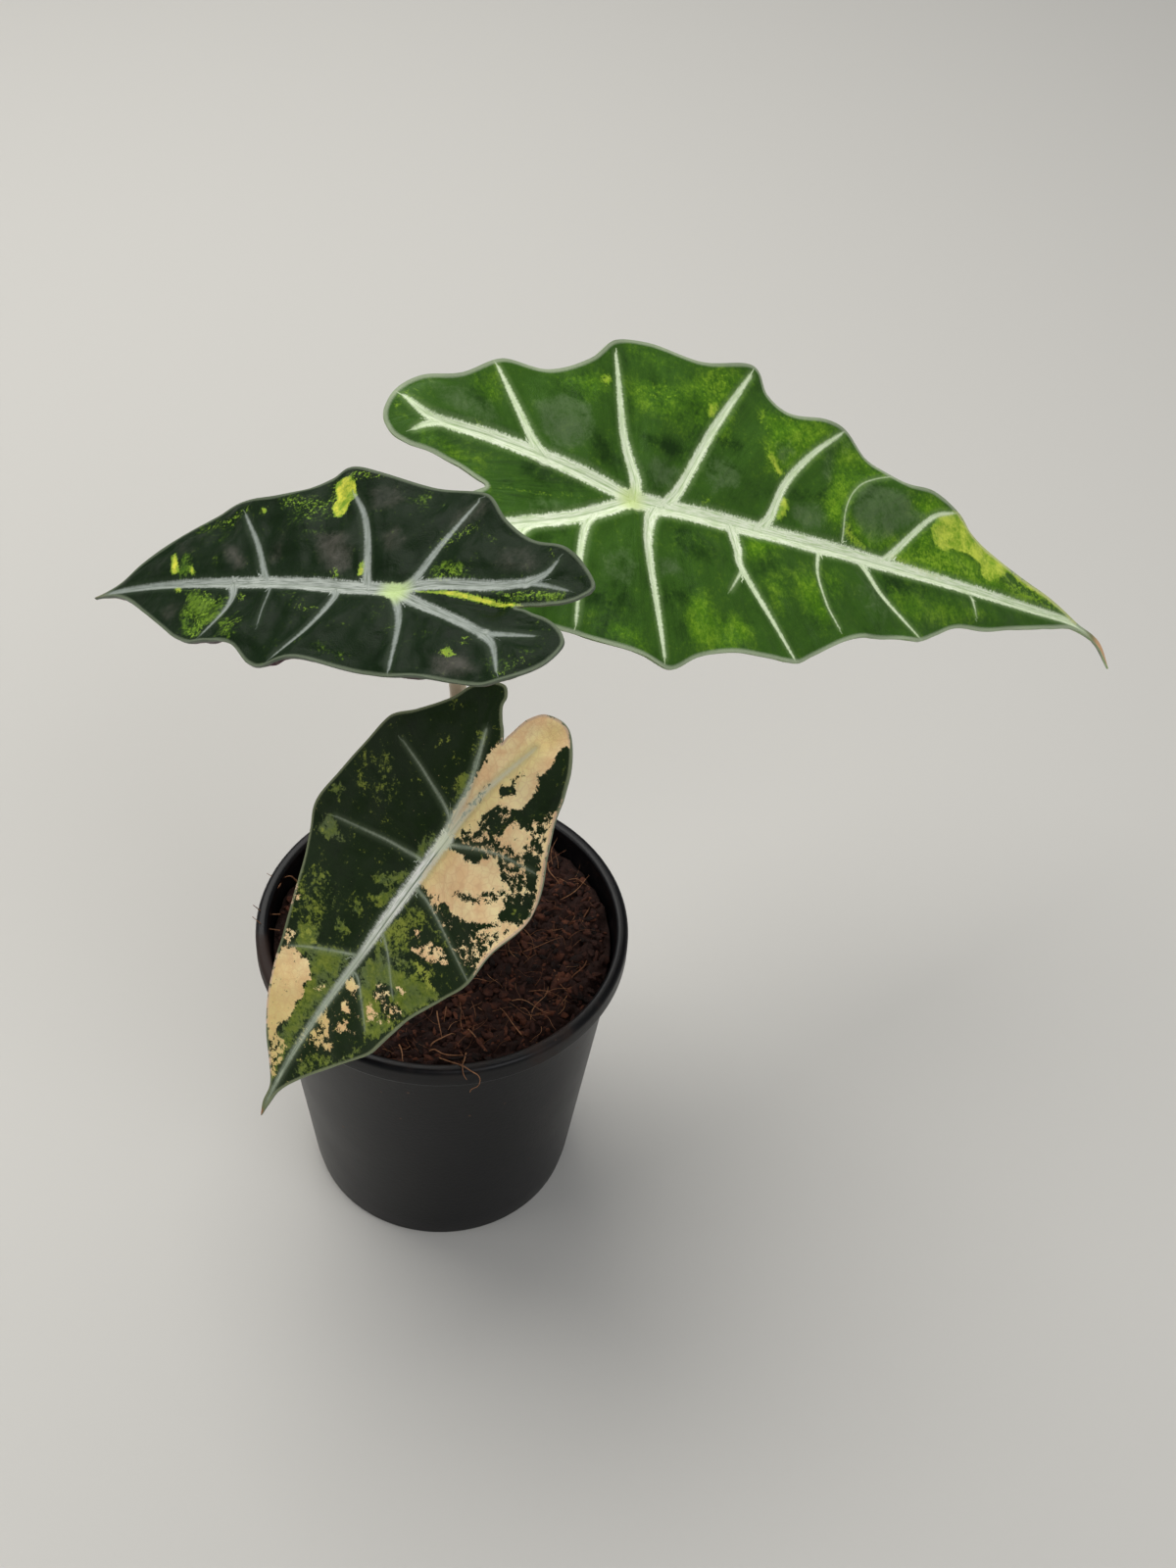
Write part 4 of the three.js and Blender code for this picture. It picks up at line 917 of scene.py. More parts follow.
def bladeFace(name, colours, amounts):
    finish = Finish(name, Specular_IOR_Level=amounts["sheen"])
    place = finish.field("place")
    side, gap, width = finish.apart(finish.field("vein"))
    run, bay, reach = finish.apart(finish.field("flow"))
    cream, yellow, bright = finish.apart(finish.field("warmTint"))
    dark, paintedSheen, _ = finish.apart(finish.field("darkTintAndSheen"))
    inset = finish.field("inset", plain=True)
    u, v, _ = finish.apart(place)

    clouds, patches, flecks, grains = (finish.unrest(place, *cloud) for cloud in bladeClouds.values())
    blots = finish.unrest(finish.together(u + 40, v + 17), amounts["blots"], 5, 0.66, 0.3)
    streaks = finish.unrest(finish.together(bay * 1.1, reach * 0.14), 0.9, 3, 0.6)

    # the green ground, from deep to light, under a painted grey sheen in place of highlights on the bumps
    tone = clouds * amounts["clouds"] + patches * amounts["patches"] + streaks * 0.5 + flecks * 0.5
    colour = finish.mix((tone - dark * 0.7).ease(-0.7, 0.05), colours["deep"], colours["middle"])
    lit = (bright + tone * 0.35 + (patches + flecks + blots) * amounts["breakUp"]).ease(*amounts["lit"])
    brightTone = finish.mix((tone + blots + 0.5).ease(0.2, 1.1), colours["light"], colours["fleck"])
    dull = (0.35 - clouds - patches).ease(0.2, 0.7) * amounts["film"]
    brightTone = finish.mix(dull, brightTone, colours["sage"])
    colour = finish.mix(lit * amounts["brightness"], colour, brightTone)
    # painted sheen: grey laid where highlights would fall on the bumps, by its outlines and by random patches
    # and flecks
    film = paintedSheen * 0.8 + (patches * 1.3 + flecks * 0.8) * amounts["veil"]
    film = film.ease(0.25, 0.95) * amounts["paintedSheen"]
    colour = finish.mix(film, colour, colours["paintedSheen"])
    freckle = flecks * 1.5 + patches * 0.9 + grains * 0.3 + bright * amounts["dotting"]
    freckle = freckle.ease(0.42, 0.56) * amounts["freckle"]
    colour = finish.mix(freckle, colour, colours["fleck"])
    jagged = blots * 2.1 + grains * amounts["grit"]
    yellowShare = (yellow + jagged * 0.85).ease(*amounts["bite"])
    uneven = (patches * 1.6 + flecks + 0.5).ease(0.2, 0.8)
    yellowTone = finish.mix(uneven, colours["yellow"], colours["fleck"])
    yellowTone = finish.mix(yellow.ease(0.45, 0.85), colours["fleck"], yellowTone)
    colour = finish.mix(yellowShare, colour, yellowTone)
    pale = yellowShare
    if amounts["cream"]:
        pale = (cream + jagged).ease(0.46, 0.54)
        blush = finish.mix((clouds + patches + 0.5).ease(0.25, 0.75), colours["cream"], colours["peach"])
        blush = finish.mix((1 - reach.ease(1.5, 9)) * 0.4, blush, colours["warmYellow"])
        blush = finish.mix(u.ease(52, 84) * 0.7, blush, colours["agedCream"])
        web = finish.cells(finish.together(u + blots * 1.5, v + patches * 2.0), 0.42, "DISTANCE_TO_EDGE")
        blush = finish.mix((1 - web.ease(0.0, 0.12)) * 0.22, blush, colours["peachLine"])
        colour = finish.mix(pale, colour, blush)
        pale = pale.most(yellowShare)

    # veins: a pale band with a ragged edge and finer lines along it
    far = gap > 2.2
    distance = far * gap + (1 - far) * side.size()
    bristle = finish.unrest(finish.together(run * 1.5, gap * 0.5), 1.5, 2, 0.6)
    ragged = (bristle * amounts["bristle"] + grains * 0.9) * (width * 0.4 + 0.15)
    edge = distance - width + ragged
    halo = 1 - edge.ease(-0.2, 2.0)
    colour = finish.mix(halo * amounts["halo"], colour, colours["halo"])
    veinShare = (1 - edge.ease(-0.5 - amounts["haze"], 0.35 + amounts["haze"] * 0.4)) * amounts["vein"]
    broad = width.ease(0.8, 2.2)
    lines = finish.cloud(finish.together(run * 0.12, side * 1.9), 1.4, 3, 0.65)
    thin, thick = (finish.mix(lines.ease(0.4, 0.68), colours[tone], colours["veinLine"])
                   for tone in ("thinVein", "vein"))
    veinTone = finish.mix(broad, thin, thick)
    veinTone = finish.mix(pale * 0.7, veinTone, colours["paleVein"])
    # a darker line down the fold of broad veins: partly their greener core, partly painted shade in the
    # sunken groove
    foldCoreAndShade = (1 - (side + 0.15).size().ease(0.05, 0.4)) * broad
    veinTone = finish.mix(foldCoreAndShade * amounts["foldCoreAndShade"], veinTone, colours["foldCoreAndShade"])
    heart = 1 - finish.node("VectorMath", {"operation": "LENGTH"}, {0: place}, "Value").ease(1.0, 7.0)
    veinTone = finish.mix(heart * 0.7, veinTone, colours["heart"])
    colour = finish.mix(veinShare, colour, veinTone)

    rim = 1 - (inset * amounts["band"] + grains * 0.5).ease(0.35, 1.0)
    rimTone = finish.mix(pale * 0.8, colours["rim"], colours["paleRim"])
    colour = finish.mix(rim * 0.85, colour, rimTone)
    old = u.ease(*amounts["rust"])
    colour = finish.mix(old, colour, finish.mix(old.ease(0.55, 1.0), colours["aged"], colours["rust"]))

    roughness = patches * 0.14 + flecks * 0.1 + veinShare * 0.08 + amounts["roughness"]
    pores = finish.cells(place, 2.6)
    swell = finish.cloud(place, 0.12, 2, 0.4, 1.0) * amounts["swell"]
    relief = swell + pores * 0.25 + grains * 0.5 + streaks * amounts["streaks"]
    relief = relief + lines * veinShare * 0.6 + patches * 0.8
    return finish.coat(colour, roughness, relief, amounts["relief"], 0.0006)


def bladeBack(name, colours, amounts):
    finish = Finish(name, Roughness=0.5, Specular_IOR_Level=0.4)
    place = finish.field("place")
    _, gap, width = finish.apart(finish.field("vein"))
    _, bay, reach = finish.apart(finish.field("flow"))
    cream, _, bright = finish.apart(finish.field("warmTint"))
    clouds = finish.unrest(place, 0.06, 3, 0.55)
    patches = finish.unrest(place, 0.3, 5, 0.65)
    grains = finish.unrest(place, 1.7, 2, 0.6)
    colour = finish.mix((clouds + patches + 0.5).ease(0.2, 0.8), colours["maroon"], colours["dusk"])
    colour = finish.mix((bright * 0.5 + patches).ease(0.2, 0.7) * 0.5, colour, colours["sage"])
    if amounts["cream"]:
        colour = finish.mix((cream + patches * 0.8).ease(0.42, 0.6) * 0.85, colour, colours["pink"])
    edge = gap - width * 1.05 + grains * 0.5
    web = finish.cells(finish.together(bay * 0.5, reach * 0.35), 0.7, "DISTANCE_TO_EDGE")
    colour = finish.mix((1 - web.ease(0.0, 0.09)) * 0.25, colour, colours["ribs"])
    colour = finish.mix((1 - edge.ease(-0.3, 0.6)) * 0.85, colour, colours["ribs"])
    roughness = patches * 0.15 + 0.46
    relief = grains * 0.5 + patches + web.ease(0.0, 0.12) * 0.6
    return finish.coat(colour, roughness, relief, 0.35, 0.0006)


def bladeEdge(name, colours):
    finish = Finish(name, Roughness=0.45)
    grains = finish.cloud(finish.field("place"), 0.4, 4, 0.65)
    return finish.coat(finish.mix(grains.ease(0.3, 0.7), colours["rim"], colours["halo"]))


# Every leaf has its colours, and the amounts of each layer of its finish. Where an amount is a
# pair, the layer begins at the first value and is full at the second.
# Each leaf's sheen colour, with its amount and its veil, is a painted sheen: grey laid on the face in place
# of highlights on the bumps.
rightColours = dict(
    deep=ink(26, 54, 10), middle=ink(56, 92, 26), light=ink(78, 128, 8), paintedSheen=ink(96, 116, 80),
    fleck=ink(128, 166, 40), yellow=ink(204, 218, 80), halo=ink(146, 172, 112),
    vein=ink(246, 254, 226), veinLine=ink(200, 222, 168), thinVein=ink(232, 246, 208),
    heart=ink(206, 226, 134), paleVein=ink(226, 234, 190), rim=ink(160, 172, 142), paleRim=ink(208, 212, 142),
    aged=ink(122, 112, 66), rust=ink(204, 162, 122), foldCoreAndShade=ink(138, 168, 104),
    maroon=ink(86, 62, 62), dusk=ink(104, 96, 82), sage=ink(104, 118, 78), ribs=ink(176, 178, 142),
)
rightAmounts = dict(
    clouds=1.2, patches=1.1, paintedSheen=0.6, freckle=0.4, cream=0, bristle=2.2, halo=0.3, vein=1.0,
    rust=(199, 209), roughness=0.38, relief=0.35, sheen=0.15, breakUp=0.7, lit=(0.0, 1.1),
    brightness=0.95, film=0.0, streaks=0.7, haze=0.1, foldCoreAndShade=0.4, blots=0.7, dotting=0.4, grit=0.45,
    bite=(0.34, 0.74), swell=0.8, band=0.62, veil=1.0,
)
leftColours = dict(
    deep=ink(4, 12, 4), middle=ink(14, 31, 9), light=ink(50, 88, 8), paintedSheen=ink(92, 88, 82),
    fleck=ink(112, 142, 40), yellow=ink(206, 204, 72), halo=ink(76, 90, 70),
    vein=ink(178, 184, 176), veinLine=ink(120, 128, 118), thinVein=ink(142, 150, 144), foldCoreAndShade=ink(80, 94, 74),
    heart=ink(196, 220, 140), paleVein=ink(168, 182, 130), rim=ink(96, 106, 86), paleRim=ink(160, 168, 100),
    aged=ink(128, 124, 88), rust=ink(146, 128, 84),
    maroon=ink(62, 34, 46), dusk=ink(78, 52, 62), sage=ink(70, 72, 56), ribs=ink(148, 134, 118),
)
leftAmounts = dict(
    clouds=1.0, patches=0.8, paintedSheen=0.75, freckle=0.12, cream=0, bristle=1.8, halo=0.22, vein=0.96,
    rust=(108, 118), roughness=0.34, relief=0.35, sheen=0.07, breakUp=1.5, lit=(0.3, 1.0),
    brightness=0.75, film=0.3, streaks=0.25, haze=0.1, foldCoreAndShade=0.4, blots=1.0, dotting=0.4, grit=1.0,
    bite=(0.44, 0.56), swell=3.0, band=0.85, veil=0.5,
)

frontColours = dict(
    deep=ink(7, 16, 5), middle=ink(26, 42, 16), light=ink(84, 106, 28), paintedSheen=ink(66, 80, 56),
    fleck=ink(150, 158, 66), yellow=ink(194, 196, 80), halo=ink(112, 126, 96), foldCoreAndShade=ink(70, 96, 46),
    vein=ink(255, 255, 248), veinLine=ink(196, 206, 182), thinVein=ink(150, 162, 140),
    heart=ink(236, 242, 206), paleVein=ink(236, 226, 196), rim=ink(124, 132, 100), paleRim=ink(226, 190, 164),
    aged=ink(108, 116, 78), rust=ink(150, 92, 58),
    cream=ink(255, 234, 178), peach=ink(242, 202, 150), warmYellow=ink(240, 226, 140),
    peachLine=ink(212, 158, 118), agedCream=ink(208, 186, 112),
    maroon=ink(72, 44, 52), dusk=ink(92, 70, 70), sage=ink(110, 122, 88), ribs=ink(176, 158, 134),
    pink=ink(214, 176, 150),
)
frontAmounts = dict(
    clouds=0.8, patches=0.9, paintedSheen=0.35, freckle=0.42, cream=1, bristle=2.0, halo=0.25, vein=0.95,
    rust=(105, 112), roughness=0.4, relief=0.35, sheen=0.12, breakUp=1.7, lit=(0.3, 0.75), brightness=0.9,
    film=0.7, streaks=0.3, haze=0.55, foldCoreAndShade=0.8, blots=0.56, dotting=0.25, grit=0.7, bite=(0.44, 0.56),
    swell=1.2, band=1.0, veil=1.0,
)

for leaf, colours, amounts in ((rightLeaf, rightColours, rightAmounts),
                               (leftLeaf, leftColours, leftAmounts),
                               (frontLeaf, frontColours, frontAmounts)):
    title = leaf["name"]
    bladePiece(leaf, bladeFace(title + "Face", colours, amounts),
               bladeBack(title + "Back", colours, amounts), bladeEdge(title + "Edge", colours))


stalkForm = dict(
    soil=108.0, depth=24.0, footRadius=4.3, topRadius=2.1, sides=40, rings=150,
    sheathHeight=46.0,  # the sheathing foot wraps the stalk up to here above the soil
    lips=((0.14, 1.2, 0.35), (-0.10, 1.65, 0.16)),  # its lip and groove: rise, place and width
    ribs=9, ribDepth=0.012, taper=1.6,
    underBlade=1.5,  # how far below the blade's frame the stalk ends
)
stalks = [
    dict(name="stalkRight", node="petiole_right", slot="stalk_green", leaf=rightLeaf, foot=(12, 8),
         route=[(12, 9, 155), (11, 12, 187), (13, 16, 210), (23, 24, 229), (37, 35, 243)],
         skin=ink(160, 168, 104), bloom=ink(198, 190, 138), shade=ink(104, 92, 62)),
    dict(name="stalkLeft", node="petiole_left", slot="stalk_cream", leaf=leftLeaf, foot=(0, 10),
         route=[(2, 8, 155), (3.8, 3, 195), (4, -5, 224), (0, -14, 252)],
         skin=ink(204, 186, 150), bloom=ink(222, 204, 172), shade=ink(126, 96, 70)),
    dict(name="stalkFront", node="petiole_front", slot="stalk_cream", leaf=frontLeaf, foot=(2, -7),
         route=[(5, -9, 143), (6, -17, 169), (4, -28, 187)],
         skin=ink(186, 172, 126), bloom=ink(212, 196, 154), shade=ink(112, 88, 60)),
]


def evenPath(points, count):
    # a centripetal curve through the points, resampled at even lengths
    points = np.asarray(points, float)
    ends = np.vstack([2 * points[0] - points[1], points, 2 * points[-1] - points[-2]])
    gaps = np.linalg.norm(np.diff(ends, axis=0), axis=1) ** 0.5
    fine = []
    for k in range(len(points) - 1):
        a, b, c, d = ends[k:k + 4]
        g0, g1, g2 = gaps[k:k + 3]
        leave = ((b - a) / g0 - (c - a) / (g0 + g1) + (c - b) / g1) * g1
        arrive = ((c - b) / g1 - (d - b) / (g1 + g2) + (d - c) / g2) * g1
        w = np.linspace(0, 1, 40, endpoint=k == len(points) - 2)[:, None]
        fine.append(cubic(w, b, c, leave, arrive))
    fine = np.vstack(fine)
    run = np.concatenate([[0], np.cumsum(np.linalg.norm(np.diff(fine, axis=0), axis=1))])
    at = np.linspace(0, run[-1], count)
    return np.stack([np.interp(at, run, fine[:, k]) for k in range(3)], 1)


def sweepFrames(path):
    # axes square to the path, carried along it without twist
    ahead = np.gradient(path, axis=0)
    ahead /= np.linalg.norm(ahead, axis=1)[:, None]
    first = np.cross(ahead[0], (0.0, 1.0, 0.2))
    sideways = [first / np.linalg.norm(first)]
    for k in range(1, len(path)):
        step = sideways[-1] - ahead[k] * (sideways[-1] @ ahead[k])
        sideways.append(step / np.linalg.norm(step))
    sideways = np.array(sideways)
    return sideways, np.cross(ahead, sideways)


def tube(name, path, radii, sides):
    # a grid wrapped round the path, closed by a small cap at either end
    rings = len(path)
    clearSelection()
    bpy.ops.mesh.primitive_grid_add(x_subdivisions=rings + 1, y_subdivisions=sides, size=2)
    piece = bpy.context.object
    flat = readPoints(piece)
    ring = np.rint((flat[:, 0] + 1) / 2 * (rings + 1)).astype(int)
    turn = np.rint((flat[:, 1] + 1) / 2 * sides) % sides * 2 * pi / sides
    step = np.clip(ring - 1, 0, rings - 1)
    onWall = (ring > 0) & (ring < rings + 1)
    radius = radii(step, turn) * onWall
    side, other = sweepFrames(path)
    places = path[step] + radius[:, None] * (
        np.cos(turn)[:, None] * side[step] + np.sin(turn)[:, None] * other[step])
    setPoints(piece, places * mm)
    return called(piece, name), step, turn


def stalkPiece(stalk):
    form, leaf = stalkForm, stalk["leaf"]
    x, y = stalk["foot"]
    ground = form["soil"] - form["depth"]
    points = [(x, y, ground), (x, y, form["soil"] + 4), *stalk["route"], leaf["stalkPoint"]]
    path = evenPath(points, form["rings"])
    up = np.array(bladeFrame(leaf)[2])
    under = (np.array(leaf["stalkPoint"]) - path) @ up
    path = path[under > form["underBlade"]]
    count = len(path)
    share = np.arange(count) / (form["rings"] - 1)
    plain = form["topRadius"] + (form["footRadius"] - form["topRadius"]) * (1 - share) ** form["taper"]
    under = (np.array(leaf["stalkPoint"]) - path) @ up
    blend = np.clip((under - form["underBlade"]) / 3.0, 0, 1)
    height = path[:, 2] - form["soil"]
    sheath = np.clip(1 - height / form["sheathHeight"], 0, 1)

    def radii(step, turn):
        # slightly ribbed, with the overlapping lip of the sheath near the foot
        shape = 1 + form["ribDepth"] * np.cos(form["ribs"] * turn + 0.8 * np.sin(share[step] * 9))
        for rise, at, width in form["lips"]:
            away = np.angle(np.exp(1j * (turn - at - 2.0 * share[step])))
            shape = shape + rise * sheath[step] * np.exp(-(away / width) ** 2)
        return plain[step] * (0.45 + 0.55 * blend[step] ** 0.7) * shape

    piece, step, turn = tube(stalk["name"], path, radii, form["sides"])
    giveField(piece, "round", np.stack([np.cos(turn), np.sin(turn), path[step][:, 2] * 0.1], 1))
    giveField(piece, "climb", share[step])
    closeUp(piece)
    wear(piece, stalkSkin(stalk))
    smoothOver(piece, 60)
    belong(piece, stalk["node"])


def stalkSkin(stalk):
    finish = Finish(stalk["name"] + "Skin", Roughness=0.4)
    turned = finish.field("round")
    climb = finish.field("climb", plain=True)
    clouds = finish.unrest(turned, 0.9, 4, 0.6)
    streaks = finish.unrest(finish.stretched(turned, (1.0, 1.0, 0.25)), 3.2, 4, 0.65)
    specks = finish.unrest(turned, 6.0, 3, 0.6)
    colour = finish.mix((clouds * 1.6 + 0.5).ease(0.2, 0.8), stalk["skin"], stalk["bloom"])
    foot = 1 - climb.ease(0.05, 0.5)
    marks = (streaks * 1.6 + specks * 0.6 + foot * 0.28).ease(0.22, 0.42)
    colour = finish.mix(marks * 0.5, colour, stalk["shade"])
    return finish.coat(colour, clouds * 0.2 + 0.42, streaks + specks * 0.4, 0.25, 0.0006)


for stalk in stalks:
    stalkPiece(stalk)
print("stalks made")


potForm = dict(
    height=115.0, rimRadius=60.0, rimWidth=4.0, rimBand=8.0, baseRadius=44.5, bodyTop=56.4,
    wall=1.3, floor=1.8, padRadius=30.0, channelRadius=40.0, channelRise=2.6,
    drainHoles=8, drainRadius=3.2, turns=144,
)
potColours = dict(
    black=ink(6, 6, 8), soft=ink(16, 16, 19), scuff=ink(84, 84, 88), dust=ink(122, 92, 72),
    smear=ink(84, 60, 46),
)


def arcPoints(centreX, centreZ, radius, start, end, steps):
    turns = [radians(start + (end - start) * k / steps) for k in range(steps + 1)]
    return [(centreX + radius * cos(a), centreZ + radius * sin(a)) for a in turns]


def spinOutline(name, outline, turns):
    # one point is pulled along the outline, and the line is spun about the middle
    clearSelection()
    bpy.ops.mesh.primitive_plane_add(size=mm)
    piece = called(bpy.context.object, name)
    bpy.ops.object.mode_set(mode="EDIT")
    bpy.ops.mesh.select_all(action="SELECT")
    bpy.ops.mesh.merge(type="CENTER")
    bpy.ops.transform.translate(value=(outline[0][0] * mm, 0, outline[0][1] * mm))
    for (r0, z0), (r1, z1) in zip(outline, outline[1:]):
        step = ((r1 - r0) * mm, 0, (z1 - z0) * mm)
        bpy.ops.mesh.extrude_region_move(TRANSFORM_OT_translate={"value": step})
    bpy.ops.mesh.select_all(action="SELECT")
    bpy.ops.mesh.spin(steps=turns, angle=2 * pi, center=(0, 0, 0), axis=(0, 0, 1))
    bpy.ops.object.mode_set(mode="OBJECT")
    closeUp(piece)
    return piece


def wallRadius(height):
    form = potForm
    share = height / (form["height"] - form["rimBand"])
    return form["baseRadius"] + (form["bodyTop"] - form["baseRadius"]) * share


def potOutline():
    form = potForm
    top, bandFoot = form["height"], form["height"] - form["rimBand"]
    rim, pad, channel = form["rimRadius"], form["padRadius"], form["channelRadius"]
    inner = rim - form["rimWidth"]
    rise, floor = form["channelRise"], form["floor"]
    outline = [(0, 0), (pad * 0.5, 0)]
    outline += arcPoints(pad - 0.6, 0.6, 0.6, -90, -20, 3)
    outline += [(pad + 2, rise), (channel - 1, rise), (channel + 0.5, 0.3), (channel + 0.9, 0)]
    outline += arcPoints(form["baseRadius"] - 1.4, 1.2, 1.2, -90, 0, 5)
    for k in range(1, 24):
        height = 1.4 + (bandFoot - 0.8 - 1.4) * k / 24
        outline.append((wallRadius(height), height))
    outline += [(form["bodyTop"], bandFoot - 0.5), (form["bodyTop"] + 0.3, bandFoot)]
    outline += arcPoints(rim - 1.6, bandFoot + 1.9, 1.6, -80, 0, 6)
    outline += [(rim, bandFoot + 4), (rim, top - 2.6)]
    outline += arcPoints(rim - 1.7, top - 1.7, 1.7, 0, 90, 8)
    outline += arcPoints(inner + 1.5, top - 1.5, 1.5, 90, 180, 7)
    outline += [(inner - 0.2, bandFoot + 1), (inner - 0.4, bandFoot)]
    for k in range(1, 12):
        height = bandFoot - (bandFoot - rise - floor) * k / 12
        outline.append((wallRadius(height) - form["wall"], height))
    outline += [(wallRadius(rise + floor) - form["wall"], rise + floor), (pad + 1, rise + floor)]
    return outline + [(pad - 1, floor), (0, floor)]


def potShell():
    form = potForm
    pot = spinOutline("potShell", potOutline(), form["turns"])
    holeCircle = (form["padRadius"] + form["channelRadius"]) / 2 + 0.5
    drills = []
    for k in range(form["drainHoles"]):
        turn = 2 * pi * k / form["drainHoles"]
        clearSelection()
        place = (holeCircle * cos(turn) * mm, holeCircle * sin(turn) * mm, form["channelRise"] * mm)
        bpy.ops.mesh.primitive_cylinder_add(
            vertices=32, radius=form["drainRadius"] * mm, depth=12 * mm, location=place)
        pick([bpy.context.object])
        bpy.ops.object.transform_apply(location=True, rotation=True, scale=True)
        drills.append(bpy.context.object)
    drill = joinPieces(drills, "drills")
    pick([pot])
    cut = pot.modifiers.new("drainHoles", "BOOLEAN")
    cut.operation = "DIFFERENCE"
    cut.solver = "EXACT"
    cut.object = drill
    bpy.ops.object.modifier_apply(modifier="drainHoles")
    bpy.data.objects.remove(drill)
    wear(pot, potPlastic())
    smoothOver(pot, 35)
    belong(pot, "pot")
    print("pot made:", len(pot.data.polygons), "faces")


def potPlastic():
    colours = potColours
    finish = Finish("potPlastic", Specular_IOR_Level=0.22)
    place = finish.node("TexCoord", {}, {}, "Object")
    height = finish.apart(place)[2]
    haze = finish.unrest(place, 28, 4, 0.6)
    grain = finish.unrest(place, 900, 3, 0.6)
    scuffs = finish.unrest(finish.stretched(place, (1, 1, 6)), 120, 5, 0.7)
    dust = finish.cells(place, 210)
    dustRare = finish.cloud(place, 160, 2, 0.5)
    colour = finish.mix((haze * 1.5 + 0.5).ease(0.3, 0.9), colours["black"], colours["soft"])
    colour = finish.mix((scuffs * 1.2 + 0.3).ease(0.45, 0.75) * 0.25, colour, colours["scuff"])
    specks = (1 - dust.ease(0.06, 0.14)) * dustRare.ease(0.58, 0.66)
    colour = finish.mix(specks * 0.8, colour, colours["dust"])
    smear = height.ease(0.098, 0.112) * (haze * 2 + 0.5).ease(0.45, 0.8) * 0.25
    colour = finish.mix(smear, colour, colours["smear"])
    rough = haze * 0.18 + specks * 0.3 + smear + 0.36
    return finish.coat(colour, rough, grain + scuffs * 0.4, 0.12, 0.0004)


potShell()


coirForm = dict(
    level=108.0, mound=3.0, roughness=0.9, radius=54.6, rings=86, turns=300, seed=71,
    footLevel=5.0, footRadius=43.2, sideSteps=10,
    heap=1.6, heapRadius=8.0,  # the coir lies higher round each stalk
    crumbs=2600, crumbReach=53.0, crumbSize=(0.55, 1.5),  # the least size, and how much it varies
    chipShare=0.03, chipSize=(1.8, 2.5), chipReach=48, barkThickness=0.8,
    strands=460, strandReach=51.0, shortShare=0.8, shortLength=(4, 9), longLength=(9, 15),
    threadRadius=0.014,  # for a length of 1
    strandRadius=0.26, strandSteps=9,
)
longStrands = [
    # on the coir: foot x, y, then length, heading, rise at the foot and bend, in degrees
    (34, 34, 16, 290, 40, 40), (44, 14, 14, 250, 36, 44), (40, -20, 18, 60, 32, 40),
    (22, -30, 26, 5, 22, 26), (34, -12, 20, 300, 24, 30), (14, -38, 14, 200, 26, 34),
    (42, -28, 20, 60, 20, 26), (30, 10, 18, 100, 24, 32), (-38, -14, 18, 140, 30, 40),
    (24, -40, 12, 330, 34, 40), (46, 4, 16, 80, 26, 30), (-34, -30, 16, 190, 30, 40),
    (20, 26, 16, 30, 26, 34), (-20, 40, 16, 150, 30, 40), (-26, 36, 18, 20, 40, 44),
]
rimStrands = [
    # these follow the photograph, over the rim in front and at the left
    [(-1, -49.8, 109), (2.8, -54, 112.5), (6.3, -58.2, 116.2), (8.9, -60.8, 117), (10.9, -60.8, 115),
     (11.5, -60.6, 111.9), (10.8, -60.6, 109.1), (8.8, -60.8, 107.8), (8.5, -60.8, 106.3)],
    [(7.3, -48, 109), (6.7, -53.9, 113.5), (6.1, -58.5, 116.3), (6.4, -60.9, 115.8), (7.4, -60.8, 112.8)],
    [(-53, 9, 108), (-57.4, 6.3, 111.5), (-59.2, 4.5, 115.8), (-60.7, 3.6, 119)],
    [(-53, 3, 107), (-56.6, 0.7, 111), (-58.7, -1, 115.8), (-60.8, -0.4, 118)],
    [(-48, 23, 108), (-50.3, 22.1, 112), (-53.1, 20.2, 113), (-54.9, 19.6, 114), (-57.5, 19.9, 115.8)],
    [(-53.3, 19.9, 112), (-53.2, 16.9, 113.5), (-54.9, 14, 113), (-55.4, 12, 110)],
    [(-13.4, -44, 108), (-12.8, -47.5, 111), (-12.3, -51.2, 113), (-12.1, -54, 113.5), (-11, -53.5, 110)],
    [(-1.8, -30, 107), (-1.7, -33.2, 110), (-1.4, -36.7, 111.5), (-0.6, -40.5, 110.5), (0, -42, 108)],
    [(-4, -44.5, 107), (-3, -44, 109), (-0.2, -43.2, 110.5), (2.8, -41.2, 110), (4, -40, 108)],
    [(-4, -46, 107.5), (-2.6, -46.9, 109.5), (0.3, -49, 110), (3.2, -49.9, 110.5), (6.4, -49.5, 110)],
    [(8, -38, 108), (9.4, -41.6, 110.5), (11.4, -45, 110.6), (13, -48, 110.4)],
]
barkChips = [
    # x, y, z, half length, half width, then heading and dip in degrees
    (12.0, -46.0, 110.6, 2.6, 1.0, 305, 5), (14.4, -52.8, 112.4, 3.0, 1.5, 280, -40),
    (4.5, -51.5, 110.8, 3.2, 0.9, 355, 0), (7.0, -51.0, 111.2, 2.4, 0.8, 20, 0),
]


def coirHeight(x, y):
    form = coirForm
    out = np.hypot(x, y) / 60.0
    lumps = np.sin(x * 0.31 + 1.2) * np.cos(y * 0.27 - 0.5) + 0.6 * np.sin(x * 0.63 - y * 0.55)
    return form["level"] - 2 + form["mound"] * (1 - out * out) + form["roughness"] * lumps


